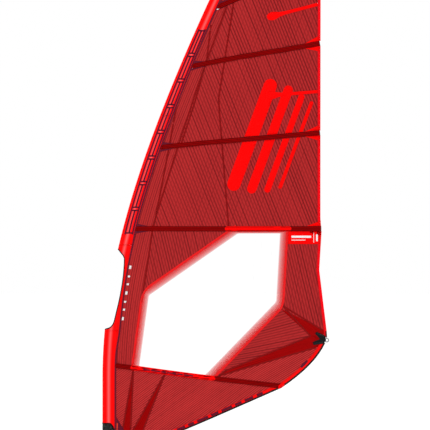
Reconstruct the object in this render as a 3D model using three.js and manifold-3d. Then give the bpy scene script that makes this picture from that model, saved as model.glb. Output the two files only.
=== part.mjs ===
// A five-batten windsurf sail of about 5 square metres, standing rigged.
// Millimetres. +Z runs up the mast, +X aft along the boom, +Y through the cloth.
// The origin is on the mast's axis, level with the lowest point of the tack's pulley block.

import * as THREE from 'three';
import { mergeVertices } from 'three/addons/utils/BufferGeometryUtils.js';
import { TessellateModifier } from 'three/addons/modifiers/TessellateModifier.js';
import Module from 'manifold-3d';

// ---- driving dimensions ----

const GAP = 0.3; // between pieces that lie side by side
const CLOTH = 1; // a panel with its seam tape
const PANEL_EDGE = 240; // longest facet edge of a large panel
const PATCH_EDGE = 120; // longest facet edge of a small one

// luff curve: straight up to BEND_START, then a long easing bend
const LUFF_X = -24.3;
const BEND_START = 650;
const BEND_LENGTH = 2400;
const BEND_SLOPE = 0.593;
const HEAD_Z = 4190;

// luff sleeve: a teardrop section, its chord given at these heights
const SLEEVE_CHORD = 100;
const SLEEVE_RADIUS = 26;
const SLEEVE_WALL = 1.2;
const SLEEVE_TAIL = 12; // where both walls are sewn together
const SLEEVE_TAPER = 0.3; // how much thinner it is at the head
const SLEEVE_STEP = 115;
const SLEEVE_WIDTHS = [
  [0, 100], [800, 100], [1050, 117], [1670, 107], [1850, 98], [2700, 97], [3600, 84], [HEAD_Z, 72],
];
const SLEEVE_BOTTOM = 236;
const CUTOUT_BOTTOM = 1025;
const CUTOUT_TOP = 1690;
const SLEEVE_SPLIT = 2140;
const SLEEVE_JOIN = 2700;
const SEAM_GAP = 2; // from the sleeve to the luff panels

// camber: the belly is towards -Y, and the head twists the same way
const DRAFT = 70;
const DRAFT_HEIGHT = 1500;
const DRAFT_REACH = 3000;
const DRAFT_SCALE = 3125 / 108; // makes the peak of u * u * (1 - u) ** 3 equal to 1
const LEECH_LINE = 1700;
const TWIST = 60;
const TWIST_START = 2000;

// edges
const LEECH_TAPE = 22;
const FOOT_BAND = 34;
const FOOT_START = [60, 20]; // just ahead of the tack corner
const FOOT_KINK = [1369, 580];
const FOOT_END = [1712, 929];
const CLEW = [1726, 951];

// battens from the luff end to the leech end, lowest first
const BATTENS = [
  { fore: [84, 751.8], aft: [1369, 593], width: 36 },
  { fore: [241, 1820], aft: [1683, 1820], width: 38 },
  { fore: [440, 2456.4], aft: [1673, 2568], width: 37 },
  { fore: [688, 3090], aft: [1671, 3264], width: 37 },
  { fore: [890, 3555], aft: [1640, 3862], width: 37 },
];
const MINI_BATTENS = [
  { name: 'lower', fore: [1275, 2857], aft: [1650, 2889] },
  { name: 'upper', fore: [1286, 3470], aft: [1650, 3566.5] },
];
const MINI_WIDTH = 23;
const MINI_THICKNESS = 7;
const POCKET_HALF = 7.5; // half the pocket's thickness
const POCKET_WALL = 1.1;
const POCKET_HEM = 3.5; // the sewn edge on each side of the tube
const BATTEN_STEPS = 10;
const STRAIGHT_END = 110;

// batten rod, its threaded carriage and the tensioner screw, all in the pocket
const ROD_RADIUS = 4;
const ROD_START = 16;
const CARRIAGE = { start: 80, end: 44, width: 25, thickness: 9, bore: 3.3, depth: 30 };
const PLUG = { start: 32, end: 9.5, bore: 3.2 };
const SCREW = { shaft: 2.6, end: 62, head: 4.5, top: 2.5, underside: 8.8, socket: 2.2, socketDepth: 4 };

// clew ring
const RING = { inner: 10, outer: 18, half: 3, chamfer: 1, sides: 28 };

// tack block with three sheaves on one pin
const BLOCK = {
  x: 52, width: 44, cheek: 3, half: 15, cheekTop: 38, plateBottom: 36, plateHalf: 4, top: 58,
  slotBottom: 44, slotTop: 54, slotWidth: 32,
};
const SHEAVE = { z: 17, radius: 13, groove: 10, width: 9.6, bore: 4.4, sides: 20 };
const PIN = { radius: 4, hole: 4.3, margin: 0.5, sides: 20 };

// fairing round the mast foot
const FAIRING = { bottom: 84, top: 304, wall: 5, aft: 50, split: 4 };

// webbing straps at the clew and the tack: they spread to clear the ring and the block
const WEBBING = { thickness: 2, edge: 26, clewLift: 0.5, tackLift: 0.9, tackSpread: 3.6, loop: 2 };
const CLEW_SPREAD = [32, 60]; // distances from the ring's centre
const TACK_SPREAD = [70, 100]; // distances aft
const SHEAVE_RIM = 1.5;

const RED = 0xac282a;
const DEEP_RED = 0x96080a;
const POCKET_RED = 0x8c0101;
const BRIGHT_RED = 0xfa0505;
const TAPE_RED = 0xf50516;
const CLEAR = 0xf4f4f2;
const BLACK_WEBBING = 0x101214;
const BLACK_PLASTIC = 0x1b1b1c;
const ROD_BLACK = 0x1c1c1e;
const PALE_PLASTIC = 0xd8d8d4;
const PAD_GREY = 0x2f2f2e;
const STEEL = 0xb9bcc0;
const SCREW_STEEL = 0x8a8d90;

// ---- shape of the whole sail ----

const vec = (x, z) => new THREE.Vector2(x, z);
const points = (pairs) => pairs.map(([x, z]) => vec(x, z));

function luffFront(z) {
  const above = Math.max(0, z - BEND_START);
  return LUFF_X + BEND_SLOPE * (Math.hypot(above, BEND_LENGTH) - BEND_LENGTH);
}

function sleeveWidth(z) {
  const i = SLEEVE_WIDTHS.findIndex(([height]) => height >= Math.min(HEAD_Z, Math.max(1, z))) - 1;
  const [[z0, w0], [z1, w1]] = [SLEEVE_WIDTHS[i], SLEEVE_WIDTHS[i + 1]];
  return THREE.MathUtils.lerp(w0, w1, THREE.MathUtils.smoothstep(z, z0, z1));
}

const seamX = (z) => luffFront(z) + sleeveWidth(z);

function sailY(x, z) {
  const u = THREE.MathUtils.clamp((x - seamX(z)) / (LEECH_LINE - seamX(z)), 0, 1);
  const draft = DRAFT * (1 - ((z - DRAFT_HEIGHT) / DRAFT_REACH) ** 2);
  const twist = TWIST * (Math.max(0, z - TWIST_START) / (HEAD_Z - TWIST_START)) ** 2;
  return -draft * DRAFT_SCALE * u * u * (1 - u) ** 3 - twist * u * u;
}

// ---- work on outlines in the XZ plane ----

// the line moved to its left, with mitred corners
function shifted(line, distance, closed = false) {
  const count = line.length;
  const normal = (a, b) => vec(a.y - b.y, b.x - a.x).normalize();
  return line.map((point, i) => {
    const before = closed || i > 0 ? normal(line[(i + count - 1) % count], point) : null;
    const after = closed || i < count - 1 ? normal(point, line[(i + 1) % count]) : null;
    const first = before ?? after;
    const second = after ?? before;
    return first.clone().add(second).multiplyScalar(distance / (1 + first.dot(second))).add(point);
  });
}

// the part of an outline to the left of the line from a to b
function clip(outline, a, b) {
  const side = (p) => (b.x - a.x) * (p.y - a.y) - (b.y - a.y) * (p.x - a.x);
  return outline.flatMap((point, i) => {
    const next = outline[(i + 1) % outline.length];
    const [here, there] = [side(point), side(next)];
    const kept = here >= 0 ? [point] : [];
    if (here * there < 0) kept.push(point.clone().lerp(next, here / (here - there)));
    return kept;
  });
}

function xOn(line, z) {
  const i = line.findIndex((point) => point.y > z);
  const [low, high] = [line[i - 1], line[i]];
  return THREE.MathUtils.mapLinear(z, low.y, high.y, low.x, high.x);
}

function curve(from, control, to, divisions) {
  return new THREE.QuadraticBezierCurve(vec(...from), vec(...control), vec(...to)).getPoints(divisions);
}

function battenEdge({ fore, aft, width }, side) {
  return shifted(points([fore, aft]), side * width / 2);
}

function above(outline, batten) {
  const [fore, aft] = battenEdge(batten, 1);
  return clip(outline, fore, aft);
}

function below(outline, batten) {
  const [fore, aft] = battenEdge(batten, -1);
  return clip(outline, aft, fore);
}

const between = (outline, low, high) => below(above(outline, BATTENS[low]), BATTENS[high]);

// ---- solids ----

const wasm = await Module();
wasm.setup();

function merged(geometry) {
  const bare = geometry.clone();
  bare.deleteAttribute('normal');
  bare.deleteAttribute('uv');
  return mergeVertices(bare, 1e-3);
}

function solid(geometry) {
  const { attributes, index } = merged(geometry);
  const mesh = { numProp: 3, vertProperties: attributes.position.array, triVerts: Uint32Array.from(index.array) };
  return new wasm.Manifold(new wasm.Mesh(mesh));
}

function geometryOf(manifold) {
  const { vertProperties, triVerts } = manifold.getMesh();
  const geometry = new THREE.BufferGeometry();
  geometry.setAttribute('position', new THREE.BufferAttribute(vertProperties, 3));
  return geometry.setIndex(new THREE.BufferAttribute(triVerts, 1));
}

const joined = (...geometries) => geometryOf(geometries.map(solid).reduce((a, b) => a.add(b)));
const cut = (geometry, ...cutters) =>
  geometryOf(cutters.map(solid).reduce((a, b) => a.subtract(b), solid(geometry)));

function remap(geometry, place) {
  const position = geometry.attributes.position;
  for (let i = 0; i < position.count; i += 1) {
    position.setXYZ(i, ...place(position.getX(i), position.getY(i), position.getZ(i)));
  }
  return geometry;
}

function extrude(shape, depth, steps = 1, curveSegments = 5) {
  return new THREE.ExtrudeGeometry(shape, { depth, steps, curveSegments, bevelEnabled: false });
}

function box(x0, x1, y0, y1, z0, z1) {
  const geometry = new THREE.BoxGeometry(x1 - x0, y1 - y0, z1 - z0);
  return geometry.translate((x0 + x1) / 2, (y0 + y1) / 2, (z0 + z1) / 2);
}

// a flat prism standing in the XZ plane, cut into facets no longer than edge
function plate(outline, thickness, edge) {
  const flat = extrude(new THREE.Shape(outline), thickness);
  return new TessellateModifier(edge, 20).modify(flat);
}

// the point at a length along a batten's middle line, which is straight near its aft end
function spine({ fore, aft }, along) {
  const length = lineLength({ fore, aft });
  const onPlan = (s) => vec(...fore).lerp(vec(...aft), s / length);
  const heightAt = (s) => sailY(onPlan(s).x, onPlan(s).y);
  const bend = length - STRAIGHT_END;
  const past = THREE.MathUtils.mapLinear(along, bend, length, heightAt(bend), heightAt(length));
  const { x, y: z } = onPlan(along);
  return [x, along > bend ? past : heightAt(along), z];
}

// wraps a straight bar along a batten's middle line
function alongLine(geometry, line) {
  const { x: forward, y: rise } = vec(...line.aft).sub(vec(...line.fore)).normalize();
  return remap(geometry, (across, through, along) => {
    const [x, y, z] = spine(line, along);
    return [x + across * rise, y + through, z - across * forward];
  });
}

const lineLength = ({ fore, aft }) => vec(...fore).distanceTo(vec(...aft));

function rectangle(width, height) {
  const [x, y] = [width / 2, height / 2];
  return new THREE.Shape(points([[-x, -y], [x, -y], [x, y], [-x, y]]));
}

function disc(radius) {
  return new THREE.Shape().absarc(0, 0, radius, 0, 2 * Math.PI);
}

// ---- the assembly ----

const sail = new THREE.Group();

function add(name, geometry, color, roughness = 0.5, metalness = 0) {
  const finished = merged(geometry);
  finished.computeVertexNormals();
  const material = new THREE.MeshStandardMaterial({ color, roughness, metalness });
  const mesh = new THREE.Mesh(finished, material);
  mesh.name = name;
  sail.add(mesh);
  return mesh;
}

function addPanel(name, outline, color, edge = PANEL_EDGE) {
  const turned = THREE.ShapeUtils.isClockWise(outline) ? outline.slice().reverse() : outline;
  const prism = plate(shifted(turned, GAP / 2, true), CLOTH, edge);
  const lay = (x, z, depth) => [x, sailY(x, z) + CLOTH / 2 - depth, z];
  return add(name, remap(prism, lay), color);
}

// turns a lathed piece so that its axis runs along the direction
function pointAlong(mesh, direction) {
  mesh.quaternion.setFromUnitVectors(new THREE.Vector3(0, 1, 0), direction.clone().normalize());
}

// ---- luff sleeve ----

// a round nose of the sleeve's size less the inset, running back to a thin edge at the tail
function teardrop(path, inset, tail) {
  const radius = SLEEVE_RADIUS - inset;
  const lean = Math.PI / 2 - Math.asin(radius / (tail - SLEEVE_RADIUS));
  path.moveTo(tail, -CLOTH);
  path.lineTo(tail, CLOTH);
  path.absarc(SLEEVE_RADIUS, 0, radius, lean, -lean);
  return path;
}

function sleeveTube(bottom, top) {
  const section = teardrop(new THREE.Shape(), 0, SLEEVE_CHORD);
  section.holes.push(teardrop(new THREE.Path(), SLEEVE_WALL, SLEEVE_CHORD - SLEEVE_TAIL));
  const length = top - bottom - GAP;
  const tube = extrude(section, length, Math.ceil(length / SLEEVE_STEP));
  return remap(tube, (chordwise, through, along) => {
    const z = bottom + along;
    const thinning = 1 - SLEEVE_TAPER * z / HEAD_Z;
    return [luffFront(z) + chordwise * sleeveWidth(z) / SLEEVE_CHORD, through * thinning, z];
  });
}

// a cutter that goes right through the sleeve from side to side
function sideCutter(outline) {
  const half = 2 * SLEEVE_RADIUS;
  const prism = extrude(new THREE.Shape(outline), 2 * half);
  return remap(prism, (x, z, depth) => [x, half - depth, z]);
}

function tackCurve(offset) {
  const start = FAIRING.top + offset;
  return [
    ...points([[-90, 0], [74 + offset, 0]]),
    ...curve([74 + offset, 236], [54 + offset, start], [28, start], 6),
    vec(-90, start),
  ];
}

function boomCutout() {
  return [
    ...points([[-90, 1030], [-10, 1033]]),
    ...curve([10, 1040], [55, 1048], [70, 1105], 4),
    ...curve([97, 1218], [147, 1430], [148, 1590], 5),
    ...points([[140, 1610], [85, 1680], [-90, 1680]]),
  ];
}

function addSleeve() {
  const lower = cut(sleeveTube(SLEEVE_BOTTOM, CUTOUT_BOTTOM), sideCutter(tackCurve(GAP)));
  add('luff_sleeve_lower', lower, BRIGHT_RED, 0.4);
  const strip = cut(sleeveTube(CUTOUT_BOTTOM, CUTOUT_TOP), sideCutter(boomCutout()));
  add('boom_cutout_strip', strip, BRIGHT_RED, 0.4);
  add('luff_sleeve_middle', sleeveTube(CUTOUT_TOP, SLEEVE_SPLIT), BRIGHT_RED, 0.4);
  add('luff_sleeve_upper', sleeveTube(SLEEVE_SPLIT, SLEEVE_JOIN), BRIGHT_RED, 0.4);
  add('luff_sleeve_top', sleeveTube(SLEEVE_JOIN, HEAD_Z), BRIGHT_RED, 0.4);
}

// ---- lines shared by neighbouring panels ----

const leechOuter = [
  ...points([[1728, 972], [1725, 1022], [1667, 1498], [1685, 1800], [1676, 1900]]),
  ...curve([1676, 3604], [1690, 3950], [1455, 4087], 6),
];
const leechInner = shifted(leechOuter, LEECH_TAPE);
const footOuter = [vec(...FOOT_START), ...curve(FOOT_KINK, [1628, 751], FOOT_END, 6)];
const footInner = shifted(footOuter, FOOT_BAND);
const TACK_X = seamX(BATTENS[0].fore[1]) + SEAM_GAP;
const luffSeam = [];
for (let z = 20; z < HEAD_Z; z += SLEEVE_STEP) luffSeam.push(vec(seamX(z) + SEAM_GAP, z));

// aft edge of the luff panels, from the window's foot up to the highest batten
const luffPanelSeam = points([
  [200, 660], [281, 1250], [339, 1618], [371, 1843], [578, 2504], [659, 2746], [709, 2902], [975, 3640],
]);
const windowForeCorner = curve([360, 1381], [292, 1334], [281, 1250], 4);
const windowAftCorner = curve([1345, 1177], [1384, 1217], [1387, 1290], 4);
const clewPatchTip = windowAftCorner[1];
const clewPatchSplit = vec(1599, 982);

// ---- panels ----

function addWindowPanels() {
  const film = [
    ...points([[209, 720], [850, 640], [850, 671]]), ...windowAftCorner,
    ...points([[1418, 1840], [1019, 1840]]), ...windowForeCorner,
  ];
  addPanel('window_film', between(film, 0, 1), CLEAR);
  const throat = [...luffPanelSeam.slice(2, 4), vec(1019, 1840), ...windowForeCorner];
  addPanel('throat_panel', below(throat, BATTENS[1]), RED);
  const leech = [
    ...windowAftCorner.slice(1), vec(1418, 1840), vec(xOn(leechInner, 1840), 1840),
    ...leechInner.slice(2, 4).reverse(), vec(xOn(leechInner, 1031), 1031),
  ];
  addPanel('leech_panel', below(leech, BATTENS[1]), RED);
}

function addClewPanels() {
  const upper = [
    clewPatchTip, clewPatchSplit, ...points([[1700, 957], [1704, 972]]),
    vec(xOn(leechInner, 1022), 1022), vec(xOn(leechInner, 1031), 1031),
  ];
  addPanel('clew_patch_upper', upper, DEEP_RED, PATCH_EDGE);
  const tail = points([[940, 718], [883, 677], [880, 640], [850, 640], [850, 671]]);
  const middle = [...windowAftCorner.slice(0, 2), clewPatchSplit, ...tail];
  addPanel('clew_panel', above(middle, BATTENS[0]), RED);
  const corner = [
    ...points([[883, 640], [1369, 560]]), ...footInner.slice(1), vec(1700, 957), clewPatchSplit,
    ...points([[940, 718], [883, 677]]),
  ];
  const zone = above(corner, BATTENS[0]);
  const [low, high] = points([[883, 677], [1640, 893]]);
  addPanel('clew_patch_lower', clip(zone, low, high), DEEP_RED, PATCH_EDGE);
  addPanel('foot_panel_aft', clip(zone, high, low), RED);
}

function addFootPanels() {
  const field = points([[TACK_X, 0], [1400, 0], [1400, 900], [TACK_X, 900]]);
  const zone = below(clip(field, footInner[0], footInner[1]), BATTENS[0]);
  const frontPatch = [points([[219, 735], [133, 250]]), points([[219, 735], [195, 250]])];
  const aftPatch = [points([[472, 708], [215, 250]]), points([[472, 708], [293, 250]])];
  const ahead = (outline, [top, bottom]) => clip(outline, bottom, top);
  const behind = (outline, [top, bottom]) => clip(outline, top, bottom);
  addPanel('luff_panel_foot', ahead(zone, frontPatch[0]), RED, PATCH_EDGE);
  addPanel('tack_patch_front', ahead(behind(zone, frontPatch[0]), frontPatch[1]), DEEP_RED, PATCH_EDGE);
  const rest = behind(zone, frontPatch[1]);
  addPanel('foot_panel_front', ahead(rest, aftPatch[0]), RED);
  addPanel('tack_patch_aft', ahead(behind(rest, aftPatch[0]), aftPatch[1]), DEEP_RED);
  addPanel('foot_panel_main', behind(rest, aftPatch[1]), RED);
}

function addUpperPanels() {
  const luff = [...luffSeam, ...luffPanelSeam.slice().reverse()];
  const notches = MINI_BATTENS.flatMap(({ fore, aft }) => {
    const [lower, upper] = [-1, 1].map((side) => battenEdge({ fore, aft, width: MINI_WIDTH }, side));
    const mouth = ([a, b]) => a.clone().lerp(b, (leechInner[4].x - a.x) / (b.x - a.x));
    return [mouth(lower), lower[0], upper[0], mouth(upper)];
  });
  const leech = [...leechInner.slice(0, 5), ...notches, ...leechInner.slice(5)];
  const body = [...leech, ...luffPanelSeam.slice(2).reverse()];
  addPanel('luff_panel_window', between(luff.filter((p) => p.y > 640), 0, 1), RED);
  ['lower', 'middle', 'upper'].forEach((name, i) => {
    addPanel(`luff_panel_${name}`, between(luff, i + 1, i + 2), RED);
    addPanel(`body_panel_${name}`, between(body, i + 1, i + 2), RED);
  });
  const head = [...leechInner.slice(5), ...luffSeam.filter((p) => p.y > 3300).reverse()];
  addPanel('head_panel', above(head, BATTENS[4]), RED);
}

function addEdges() {
  const band = [...footOuter, ...footInner.slice().reverse()];
  addPanel('foot_band_tack', clip(below(band, BATTENS[0]), vec(TACK_X, 900), vec(TACK_X, 0)), BRIGHT_RED);
  addPanel('foot_band_clew', above(band, BATTENS[0]), BRIGHT_RED);
  const tape = [...leechOuter, ...leechInner.slice().reverse()];
  const zones = [
    below(tape, BATTENS[1]), between(tape, 1, 2), between(tape, 2, 3), between(tape, 3, 4),
    above(tape, BATTENS[4]),
  ];
  zones.forEach((outline, i) => addPanel(`leech_tape_${i + 1}`, outline, TAPE_RED));
}

// ---- battens ----

function pocketSection(width) {
  const edge = width / 2 - GAP / 2;
  const tube = edge - POCKET_HEM;
  const inside = POCKET_HALF - POCKET_WALL;
  const section = new THREE.Shape(points([
    [-edge, -CLOTH], [-tube, -POCKET_HALF], [tube, -POCKET_HALF], [edge, -CLOTH],
    [edge, CLOTH], [tube, POCKET_HALF], [-tube, POCKET_HALF], [-edge, CLOTH],
  ]));
  const room = tube - POCKET_WALL;
  section.holes.push(new THREE.Path(points([[-room, -inside], [-room, inside], [room, inside], [room, -inside]])));
  return { section, room, inside };
}

// a pocket with a drilled plug near its aft end, which carries the screw
function addPocket(batten, number) {
  const length = lineLength(batten);
  const { section, room, inside } = pocketSection(batten.width);
  const tube = alongLine(extrude(section, length, BATTEN_STEPS), batten);
  const start = length - PLUG.start;
  const block = extrude(rectangle(2 * room + 1, 2 * inside + 1), PLUG.start - PLUG.end).translate(0, 0, start);
  const bore = extrude(disc(PLUG.bore), PLUG.start).translate(0, 0, start - 2);
  const plug = alongLine(cut(block, bore), batten);
  add(`batten_pocket_${number}`, joined(tube, plug), POCKET_RED);
}

function addBatten(batten, number) {
  const length = lineLength(batten);
  const { start, end, width, thickness, bore, depth } = CARRIAGE;
  const reach = length - start - ROD_START + 1;
  const rod = extrude(disc(ROD_RADIUS), reach, BATTEN_STEPS, 4).translate(0, 0, ROD_START);
  const carriage = extrude(rectangle(width, thickness), start - end).translate(0, 0, length - start);
  const thread = extrude(disc(bore), depth + 1).translate(0, 0, length - end - depth);
  const place = (geometry) => alongLine(geometry, batten);
  add(`batten_${number}`, joined(place(rod), place(cut(carriage, thread))), ROD_BLACK, 0.35);
}

function addScrew(batten, number) {
  const { shaft, end, head, top, underside, socket, socketDepth } = SCREW;
  const profile = points([
    [0, -end], [shaft, -end], [shaft, -underside], [head, -underside],
    [head, -top], [socket, -top], [socket, -top - socketDepth], [0, -top - socketDepth],
  ]);
  const turned = new THREE.LatheGeometry(profile, 12);
  const start = new THREE.Vector3(...spine(batten, lineLength(batten) - STRAIGHT_END));
  const screw = add(`tensioner_screw_${number}`, turned, SCREW_STEEL, 0.35, 0.9);
  screw.position.set(...spine(batten, lineLength(batten)));
  pointAlong(screw, screw.position.clone().sub(start));
}

function addMiniBatten({ name, fore, aft }) {
  const length = lineLength({ fore, aft }) - GAP;
  const bar = extrude(rectangle(MINI_WIDTH - GAP, MINI_THICKNESS), length, 5).translate(0, 0, GAP);
  add(`mini_batten_${name}`, alongLine(bar, { fore, aft }), POCKET_RED);
}

// ---- webbing ----

// a strap on each side of the cloth, lifted off the surface between them
function webbingPair(outline, lift, middle) {
  const { thickness, edge } = WEBBING;
  return [1, -1].map((side) => remap(plate(outline, thickness, edge), (x, z, depth) => {
    const raised = lift(x, z) + (side > 0 ? thickness - depth : depth);
    return [x, middle(x, z) + side * raised, z];
  }));
}

// ---- clew ----

function addClewRing() {
  const { inner, outer, half, chamfer, sides } = RING;
  const profile = points([
    [inner + chamfer, -half], [outer - chamfer, -half], [outer, chamfer - half], [outer, half - chamfer],
    [outer - chamfer, half], [inner + chamfer, half], [inner, half - chamfer], [inner, chamfer - half],
    [inner + chamfer, -half],
  ]);
  const ring = add('clew_ring', new THREE.LatheGeometry(profile, sides), STEEL, 0.25, 1);
  ring.position.set(CLEW[0], 0, CLEW[1]);
}

// two straps, one on each side of the cloth, joined by a loop through the ring
function addClewWebbing() {
  const outline = points([
    [1634, 1002], [1647, 1016], [1709, 987], [1714, 972], [1719.5, 955], [1719.5, 947],
    [1710, 936], [1695, 923], [1623, 913], [1615, 935], [1674, 959],
  ]).reverse();
  const lift = (x, z) => {
    const near = 1 - THREE.MathUtils.smoothstep(Math.hypot(x - CLEW[0], z - CLEW[1]), ...CLEW_SPREAD);
    return CLOTH / 2 + WEBBING.clewLift + near * (RING.half - CLOTH / 2);
  };
  const straps = webbingPair(outline, lift, () => 0);
  const reach = RING.half + 1.5;
  add('clew_webbing', joined(...straps, box(1719.4 - WEBBING.loop, 1719.4, -reach, reach, 948, 954)), BLACK_WEBBING, 0.85);
}

// ---- tack ----

function alongX(geometry) {
  return geometry.rotateZ(-Math.PI / 2);
}

function cylinderX(radius, length, sides) {
  return alongX(new THREE.CylinderGeometry(radius, radius, length, sides)).translate(BLOCK.x, 0, SHEAVE.z);
}

function sheaveRoom() {
  return (BLOCK.width - 4 * BLOCK.cheek) / 3;
}

function addPulleyBlock() {
  const { x, width, cheek, half, cheekTop, plateBottom, plateHalf, top, slotBottom, slotTop, slotWidth } = BLOCK;
  const left = x - width / 2;
  const cheeks = [0, 1, 2, 3].map((i) => {
    const start = left + i * (cheek + sheaveRoom());
    return box(start, start + cheek, -half, half, 0, cheekTop);
  });
  const bridge = box(left, left + width, -half, half, plateBottom, cheekTop + 1);
  const upright = box(left, left + width, -plateHalf, plateHalf, plateBottom, top);
  const slot = box(x - slotWidth / 2, x + slotWidth / 2, -half, half, slotBottom, slotTop);
  const hole = cylinderX(PIN.hole, 2 * width, PIN.sides);
  add('pulley_block', cut(joined(...cheeks, bridge, upright), slot, hole), BLACK_PLASTIC, 0.45);
  add('sheave_pin', cylinderX(PIN.radius, width - 2 * PIN.margin, PIN.sides), STEEL, 0.25, 1);
}

function addSheave(number) {
  const { radius, groove, width, bore, sides, z } = SHEAVE;
  const half = width / 2;
  const profile = points([
    [bore, -half], [radius, -half], [radius, SHEAVE_RIM - half], [groove, -SHEAVE_RIM], [groove, SHEAVE_RIM],
    [radius, half - SHEAVE_RIM], [radius, half], [bore, half], [bore, -half],
  ]);
  const sheave = add(`sheave_${number}`, new THREE.LatheGeometry(profile, sides), PALE_PLASTIC, 0.4);
  sheave.rotation.z = -Math.PI / 2;
  sheave.position.set(BLOCK.x + (number - 2) * (BLOCK.cheek + sheaveRoom()), 0, z);
}

// a strap from each side of the tack, joined by a loop under the block's top bar
function addTackWebbing() {
  const outline = points([[38, 47.5], [66, 47.5], [67, 61], [88, 76], [134, 148], [106, 168], [58, 82], [42, 60]]);
  const { tackLift, tackSpread } = WEBBING;
  const lift = (x) => CLOTH / 2 + tackLift + tackSpread * (1 - THREE.MathUtils.smoothstep(x, ...TACK_SPREAD));
  const straps = webbingPair(outline, lift, sailY);
  add('tack_webbing', joined(...straps, box(38, 66, -6.5, 6.5, 47.5, 47.5 + WEBBING.loop)), BLACK_WEBBING, 0.85);
}

// ---- fairing ----

function fairingSection() {
  const shape = teardrop(new THREE.Shape(), 0, SLEEVE_CHORD);
  const tail = SLEEVE_CHORD - 2 * FAIRING.wall - SLEEVE_TAIL;
  shape.holes.push(teardrop(new THREE.Path(), FAIRING.wall, tail));
  return shape;
}

function addFairing() {
  const { bottom, top, aft, split } = FAIRING;
  const ring = extrude(fairingSection(), top - bottom + 20, 1, 8).translate(LUFF_X, 0, bottom);
  const inside = sideCutter(tackCurve(-GAP));
  const shell = geometryOf(solid(ring).intersect(solid(inside)));
  const behind = box(aft, 200, -90, 90, 0, 900);
  const farSide = box(split, 200, 0, 90, 0, 900);
  add('tack_fairing', cut(shell, behind, farSide), PAD_GREY, 0.9);
  const nearSide = box(-200, split + 1, -90, 90, 0, 900);
  const front = box(-200, 200, -90, 0, 0, 900);
  add('tack_flap', cut(shell, behind, nearSide, front), PAD_GREY, 0.9);
}

// ---- head ----

function addHeadCap() {
  const profile = points([[0, -34], [8, -34], [8, 12], [19, 12], [19, 17], [12, 27], [0, 30]]);
  const cap = add('head_cap', new THREE.LatheGeometry(profile, 20), BLACK_PLASTIC, 0.5);
  const centre = SLEEVE_RADIUS * sleeveWidth(HEAD_Z) / SLEEVE_CHORD;
  pointAlong(cap, new THREE.Vector3(luffFront(HEAD_Z) - luffFront(HEAD_Z - 1), 0, 1));
  cap.position.set(luffFront(HEAD_Z) + centre, 0, HEAD_Z);
}

addSleeve();
addWindowPanels();
addClewPanels();
addFootPanels();
addUpperPanels();
addEdges();
BATTENS.forEach((batten, i) => {
  addPocket(batten, i + 1);
  addBatten(batten, i + 1);
  addScrew(batten, i + 1);
});
MINI_BATTENS.forEach(addMiniBatten);
addClewRing();
addClewWebbing();
addPulleyBlock();
[1, 2, 3].forEach(addSheave);
addTackWebbing();
addFairing();
addHeadCap();

export default sail;
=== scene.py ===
import math

import bmesh
import bpy
from bpy.props import FloatProperty, FloatVectorProperty, PointerProperty
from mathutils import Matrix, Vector


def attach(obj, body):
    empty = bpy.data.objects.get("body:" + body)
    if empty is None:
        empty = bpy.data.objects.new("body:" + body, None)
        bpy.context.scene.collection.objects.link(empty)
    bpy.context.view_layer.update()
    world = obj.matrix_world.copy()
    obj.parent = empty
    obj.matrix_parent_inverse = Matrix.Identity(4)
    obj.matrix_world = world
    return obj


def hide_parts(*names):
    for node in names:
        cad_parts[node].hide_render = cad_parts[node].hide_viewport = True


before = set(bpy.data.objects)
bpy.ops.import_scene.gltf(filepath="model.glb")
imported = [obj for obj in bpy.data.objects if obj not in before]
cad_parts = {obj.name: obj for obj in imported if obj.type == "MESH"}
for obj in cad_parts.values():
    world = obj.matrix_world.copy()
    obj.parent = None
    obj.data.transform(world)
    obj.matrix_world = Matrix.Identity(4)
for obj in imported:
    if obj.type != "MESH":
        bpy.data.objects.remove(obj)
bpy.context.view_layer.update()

bl_info = {
    "name": "Windsurf sail",
    "version": (1, 0, 0),
    "blender": (4, 5, 0),
    "location": "3D View > Sidebar > Sail",
    "description": "Cloth, seams, prints and hardware of a five-batten windsurf sail, with a plain studio",
    "category": "Add Mesh",
}

# ---- shape of the whole sail, in metres ----

LUFF_X = -0.0243
BEND_START = 0.65
BEND_LENGTH = 2.4
BEND_SLOPE = 0.593
HEAD_Z = 4.19

SLEEVE_WIDTHS = (
    (0, 0.1), (0.8, 0.1), (1.05, 0.117), (1.67, 0.107), (1.85, 0.098), (2.7, 0.097), (3.6, 0.084),
    (HEAD_Z, 0.072),
)
NOSE = 0.026  # the sleeve's front radius, for a chord of 100 mm
TANGENT = (0.03513, 0.02434)  # where its straight flank starts
TAIL = 0.001
SLEEVE_TAPER = 0.3
SLEEVE_WALL = 0.0012

DRAFT = 0.07
DRAFT_HEIGHT = 1.5
DRAFT_REACH = 3.0
DRAFT_SCALE = 3125 / 108
LEECH_LINE = 1.7
TWIST = 0.06
TWIST_START = 2.0

POCKET_HALF = 0.0075
POCKET_HEM = 0.0035
POCKET_EDGE = 0.001  # half the hem's thickness
POCKET_WALL = 0.0011
HEM_LAP = 0.0012  # what a pocket's hem laps over the panels
STRAIGHT_END = 0.11
GAP = 0.0003
PANEL_LIFT = 0.00035  # from the middle of the cloth to its surface
OVERLAP = 0.0006  # what a panel laps over its neighbours


def metres(*pairs):
    return [(x / 1000, z / 1000) for x, z in pairs]


def bezier(a, b, c, count):
    """Points on a quadratic curve from a to c, both included."""
    def at(t):
        return tuple((1 - t) ** 2 * p + 2 * t * (1 - t) * q + t * t * r for p, q, r in zip(a, b, c))

    return [at(i / count) for i in range(count + 1)]


BATTENS = (
    ((0.084, 0.7518), (1.369, 0.593), 0.036),
    ((0.241, 1.82), (1.683, 1.82), 0.038),
    ((0.44, 2.4564), (1.673, 2.568), 0.037),
    ((0.688, 3.09), (1.671, 3.264), 0.037),
    ((0.89, 3.555), (1.64, 3.862), 0.037),
)
MINI_BATTENS = (("lower", (1.275, 2.857), (1.65, 2.889)), ("upper", (1.286, 3.47), (1.65, 3.5665)))
CLEW = (1.726, 0.951)

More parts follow.
